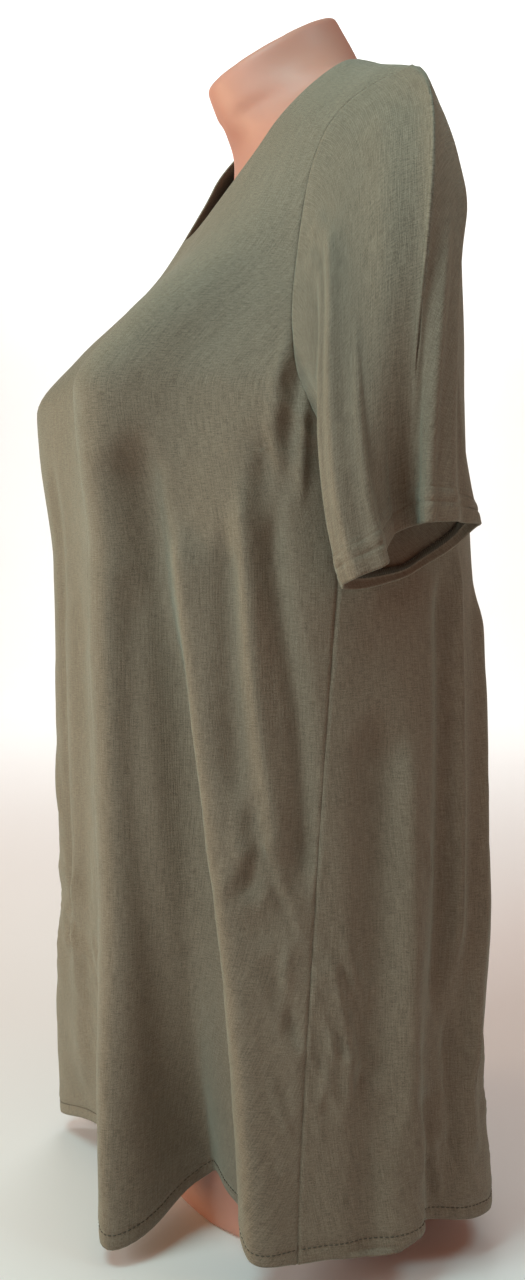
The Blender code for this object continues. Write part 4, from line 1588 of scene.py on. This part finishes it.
@dataclass(frozen=True)
class Jersey:
    """Fine-gauge viscose jersey: narrow wales, short slubs, a slight heather and a soft sheen.

    A pair is a pitch across and along the cloth, in shares of a wale and a course for the loops.
    """

    name: str = "olive_jersey"
    dark: Colour = (0.104, 0.083, 0.056, 1.0)
    light: Colour = (0.218, 0.183, 0.134, 1.0)
    sheen_colour: Colour = (0.70, 0.86, 0.74, 1.0)
    wale: float = 0.85 * MM
    course: float = 1.0 * MM
    streak_length: float = 14 * MM
    slub: tuple[float, float] = (6 * MM, 0.7 * MM)
    speck: tuple[float, float] = (0.7 * MM, 0.9 * MM)
    cloud: tuple[float, float] = (70 * MM, 90 * MM)
    loop: tuple[float, float] = (0.8, 0.6)
    speck_tone, cloud_tone = 1.3, 0.3
    rib_height, streak_height, loop_height, slub_height = 0.16, 0.5, 0.7, 0.3

    def build(self) -> bpy.types.Material:
        """Makes the material.

        Returns:
            The material.
        """
        board = NodeBoard.for_finish(self.name)
        place = board.add("ShaderNodeUVMap", {"uv_map": "cloth"}, {})
        streaks = self.grain(board, place, self.wale, self.streak_length, 3.0)
        slubs = self.grain(board, place, *self.slub, 2.0)
        specks = self.grain(board, place, *self.speck, 2.0)
        clouds = self.grain(board, place, *self.cloud, 2.0)
        even = (streaks - 0.5) + (slubs - 0.5)
        tone = even + (specks - 0.5) * self.speck_tone + (clouds - 0.5) * self.cloud_tone + 0.5
        across = board.add("ShaderNodeSeparateXYZ", {}, {"Vector": place})
        ribs = (across * (2 * math.pi / self.wale)).maths("SINE")
        loops = self.grain(board, place, self.wale * self.loop[0], self.course * self.loop[1], 1.0)
        height = ribs * self.rib_height + streaks * self.streak_height
        height = height + loops * self.loop_height + slubs * self.slub_height
        board.shade({
            "Base Color": board.mix_colours(tone, self.dark, self.light),
            "Normal": board.bump(height, 0.6, 0.5 * MM),
            "Roughness": 0.74, "Specular IOR Level": 0.32,
            "Sheen Weight": 0.30, "Sheen Roughness": 0.42, "Sheen Tint": self.sheen_colour,
        })
        return board.owner

    @staticmethod
    def grain(board: NodeBoard, place: Value, width: float, length: float, detail: float) -> Value:
        """Noise stretched along the cloth, with its pitch across and along in metres.

        Args:
            board: The material's nodes.
            place: The place on the flat cloth.
            width: The pitch across.
            length: The pitch along.
            detail: How many finer layers it has.

        Returns:
            The noise.
        """
        pitch = (1.0 / width, 1.0 / length, 1.0)
        stretched = board.add("ShaderNodeVectorMath", {"operation": "MULTIPLY"}, {0: place, 1: pitch})
        return board.noise(stretched, 1.0, detail, "2D")


@dataclass(frozen=True)
class SatinPlastic:
    """Moulded skin-toned plastic with a satin gloss and a fine grain."""

    name: str = "skin_tone_plastic"
    base: Colour = (0.50, 0.245, 0.185, 1.0)
    worn: Colour = (0.45, 0.215, 0.16, 1.0)

    def build(self) -> bpy.types.Material:
        """Makes the material.

        Returns:
            The material.
        """
        board = NodeBoard.for_finish(self.name)
        place = board.own_place()
        clouds, grain = board.noise(place, 22.0, 3.0), board.noise(place, 900.0, 1.0)
        board.shade({
            "Base Color": board.mix_colours(clouds, self.worn, self.base),
            "Roughness": 0.46 + clouds * 0.12,
            "Normal": board.bump(grain, 0.08, 0.2 * MM),
            "Subsurface Weight": 0.08,
        })
        return board.owner


@dataclass(frozen=True)
class SewingThread:
    """Dark olive polyester thread with a slight gloss."""

    name: str = "sewing_thread"
    base: Colour = (0.040, 0.036, 0.024, 1.0)
    light: Colour = (0.070, 0.064, 0.044, 1.0)

    def build(self) -> bpy.types.Material:
        """Makes the material.

        Returns:
            The material.
        """
        board = NodeBoard.for_finish(self.name)
        fibres = board.noise(board.own_place(), 2500.0, 1.0)
        board.shade({
            "Base Color": board.mix_colours(fibres, self.base, self.light),
            "Normal": board.bump(fibres, 0.2, 0.1 * MM),
            "Roughness": 0.6, "Specular IOR Level": 0.35,
        })
        return board.owner


@dataclass(frozen=True)
class StudioWhite:
    """The floor's plain pale paint."""

    name: str = "studio_white"
    light: Colour = (0.88, 0.88, 0.87, 1.0)
    dull: Colour = (0.84, 0.84, 0.83, 1.0)

    def build(self) -> bpy.types.Material:
        """Makes the material.

        Returns:
            The material.
        """
        board = NodeBoard.for_finish(self.name)
        clouds = board.noise(board.own_place(), 1.5)
        board.shade({"Base Color": board.mix_colours(clouds, self.dull, self.light), "Roughness": 0.9})
        return board.owner


@dataclass(frozen=True)
class SoftLight:
    """A softbox that looks at a place on the shirt."""

    name: str
    place: tuple[float, float, float]
    aim: tuple[float, float, float]
    size: float
    power: float
    colour: tuple[float, float, float]


SOFT_LIGHTS = (
    SoftLight("overhead_softbox", (0.42, -0.58, 1.33), (0.05, -0.05, 0.60), 0.6, 7.0, (0.54, 0.97, 1.0)),
    SoftLight("rear_overhead_softbox", (0.62, 0.50, 1.30), (0.20, 0.05, 0.62), 0.5, 3.2, (0.56, 0.94, 0.97)),
    SoftLight("front_softbox", (0.62, -1.60, 0.80), (0.0, 0.0, 0.42), 0.9, 13.0, (0.90, 0.98, 0.95)),
    SoftLight("low_warm_softbox", (-0.9, -1.9, 0.40), (0.0, 0.0, 0.35), 0.8, 20.0, (1.0, 0.74, 0.46)),
    SoftLight("back_softbox", (1.2, 1.9, 0.7), (0.0, 0.0, 0.35), 1.1, 3.0, (1.0, 0.58, 0.42)),
    SoftLight("backdrop_softbox", (-2.4, 0.72, 3.1), (-4.1, 1.2, 0.9), 2.0, 115.0, (0.88, 0.99, 1.0)),
)


@dataclass
class Studio:
    """The pale floor with its backdrop, the soft lights and the camera."""

    floor_length: float = 7.0
    bend: float = 1.2
    wall_height: float = 3.4
    bend_steps: int = 10
    azimuth: float = 73.5
    distance: float = 1.07
    camera_height: float = 0.475
    focal_pixels: float = 1387.0
    level_pixel: tuple[float, float] = (268.0, 550.0)
    picture: tuple[int, int] = (525, 1280)
    sensor: float = 36.0
    backdrop: Colour = (0.93, 0.92, 0.91, 1.0)
    room: Colour = (0.30, 0.125, 0.08, 1.0)

    def build_floor(self) -> bpy.types.Object:
        """A floor whose far end curves up into a backdrop behind the shirt.

        Returns:
            The floor.
        """
        turn = math.radians(self.azimuth)
        away = Vector((-math.sin(turn), math.cos(turn), 0.0))
        deselect_all()
        bpy.ops.mesh.primitive_plane_add(size=self.floor_length, rotation=(0.0, 0.0, turn))
        floor = bpy.context.object
        floor.name = "studio_floor"
        bpy.ops.object.mode_set(mode="EDIT")
        bpy.ops.mesh.select_mode(type="EDGE")
        bpy.ops.mesh.select_all(action="DESELECT")
        bpy.ops.object.mode_set(mode="OBJECT")
        for edge in floor.data.edges:
            edge.select = all(floor.data.vertices[i].co.y > 0.0 for i in edge.vertices)
        bpy.ops.object.mode_set(mode="EDIT")
        for i in range(self.bend_steps):
            before, after = (math.pi / 2 * step / self.bend_steps for step in (i, i + 1))
            forward = self.bend * (math.sin(after) - math.sin(before))
            climb = self.bend * (math.cos(before) - math.cos(after))
            move = away * forward + Vector((0.0, 0.0, climb))
            bpy.ops.mesh.extrude_region_move(TRANSFORM_OT_translate={"value": tuple(move)})
        rest = (0.0, 0.0, self.wall_height - self.bend)
        bpy.ops.mesh.extrude_region_move(TRANSFORM_OT_translate={"value": rest})
        bpy.ops.object.mode_set(mode="OBJECT")
        bpy.ops.object.shade_smooth()
        floor.data.materials.append(StudioWhite().build())
        floor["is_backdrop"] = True
        return floor

    def build_lights(self) -> None:
        """Hangs the softboxes in a dim warm room that looks white behind the shirt."""
        for light in SOFT_LIGHTS:
            data = bpy.data.lights.new(light.name, "AREA")
            data.shape, data.size = "DISK", light.size
            data.energy, data.color = light.power, light.colour
            lamp = place_object(light.name, data)
            lamp.location = light.place
            aim = Vector(light.aim) - Vector(light.place)
            lamp.rotation_euler = aim.to_track_quat("-Z", "Y").to_euler()
        board = NodeBoard(bpy.data.worlds.new("studio_surroundings"), "Background")
        seen_directly = board.add("ShaderNodeLightPath", {}, {})
        board.shade({"Color": board.mix_colours(seen_directly, self.room, self.backdrop)})
        bpy.context.scene.world = board.owner
        bpy.context.scene.view_settings.view_transform = "Standard"

    def build_camera(self) -> None:
        """A level camera that sees the shirt's left side from a little in front of it."""
        longest = max(self.picture)
        data = bpy.data.cameras.new("studio_camera")
        data.sensor_width = self.sensor
        data.lens = self.focal_pixels / longest * self.sensor
        data.shift_x = (self.picture[0] / 2 - self.level_pixel[0]) / longest
        data.shift_y = (self.level_pixel[1] - self.picture[1] / 2) / longest
        turn = math.radians(self.azimuth)
        camera = place_object("studio_camera", data)
        camera.location = (
            self.distance * math.sin(turn), -self.distance * math.cos(turn), self.camera_height
        )
        camera.rotation_euler = (math.pi / 2, 0.0, turn)
        bpy.context.scene.camera = camera

    def build(self) -> None:
        """Builds the whole studio."""
        self.build_camera()
        self.build_floor()
        self.build_lights()


def main() -> None:
    """Builds the studio, the dress form and the shirt."""
    cad_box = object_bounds()
    Studio().build()
    cloth = ShirtCloth(BodyShape())
    jersey, plastic = Jersey().build(), SatinPlastic().build()
    thread = Thread(SewingThread().build())
    form = DressForm()
    torso = form.build()
    torso.data.materials.clear()
    torso.data.materials.append(plastic)
    form.declare(torso)
    pieces = (
        Panel(cloth, Face.FRONT, "front_cloth", flat=(0.66, 0.80), area=0.388),
        Panel(cloth, Face.BACK, "back_cloth", flat=(0.66, 0.81), area=0.414),
        Sleeve(cloth, Side.LEFT),
        Sleeve(cloth, Side.RIGHT),
    )
    for piece in pieces:
        made = piece.build()
        made.data.materials.append(jersey)
        piece.declare(made)
        piece.sew(thread)
    boxes = {"cad": cad_box, "visual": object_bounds()}
    {key: [list(map(float, corner)) for corner in box] for key, box in boxes.items()}


if __name__ == "__main__":
    main()
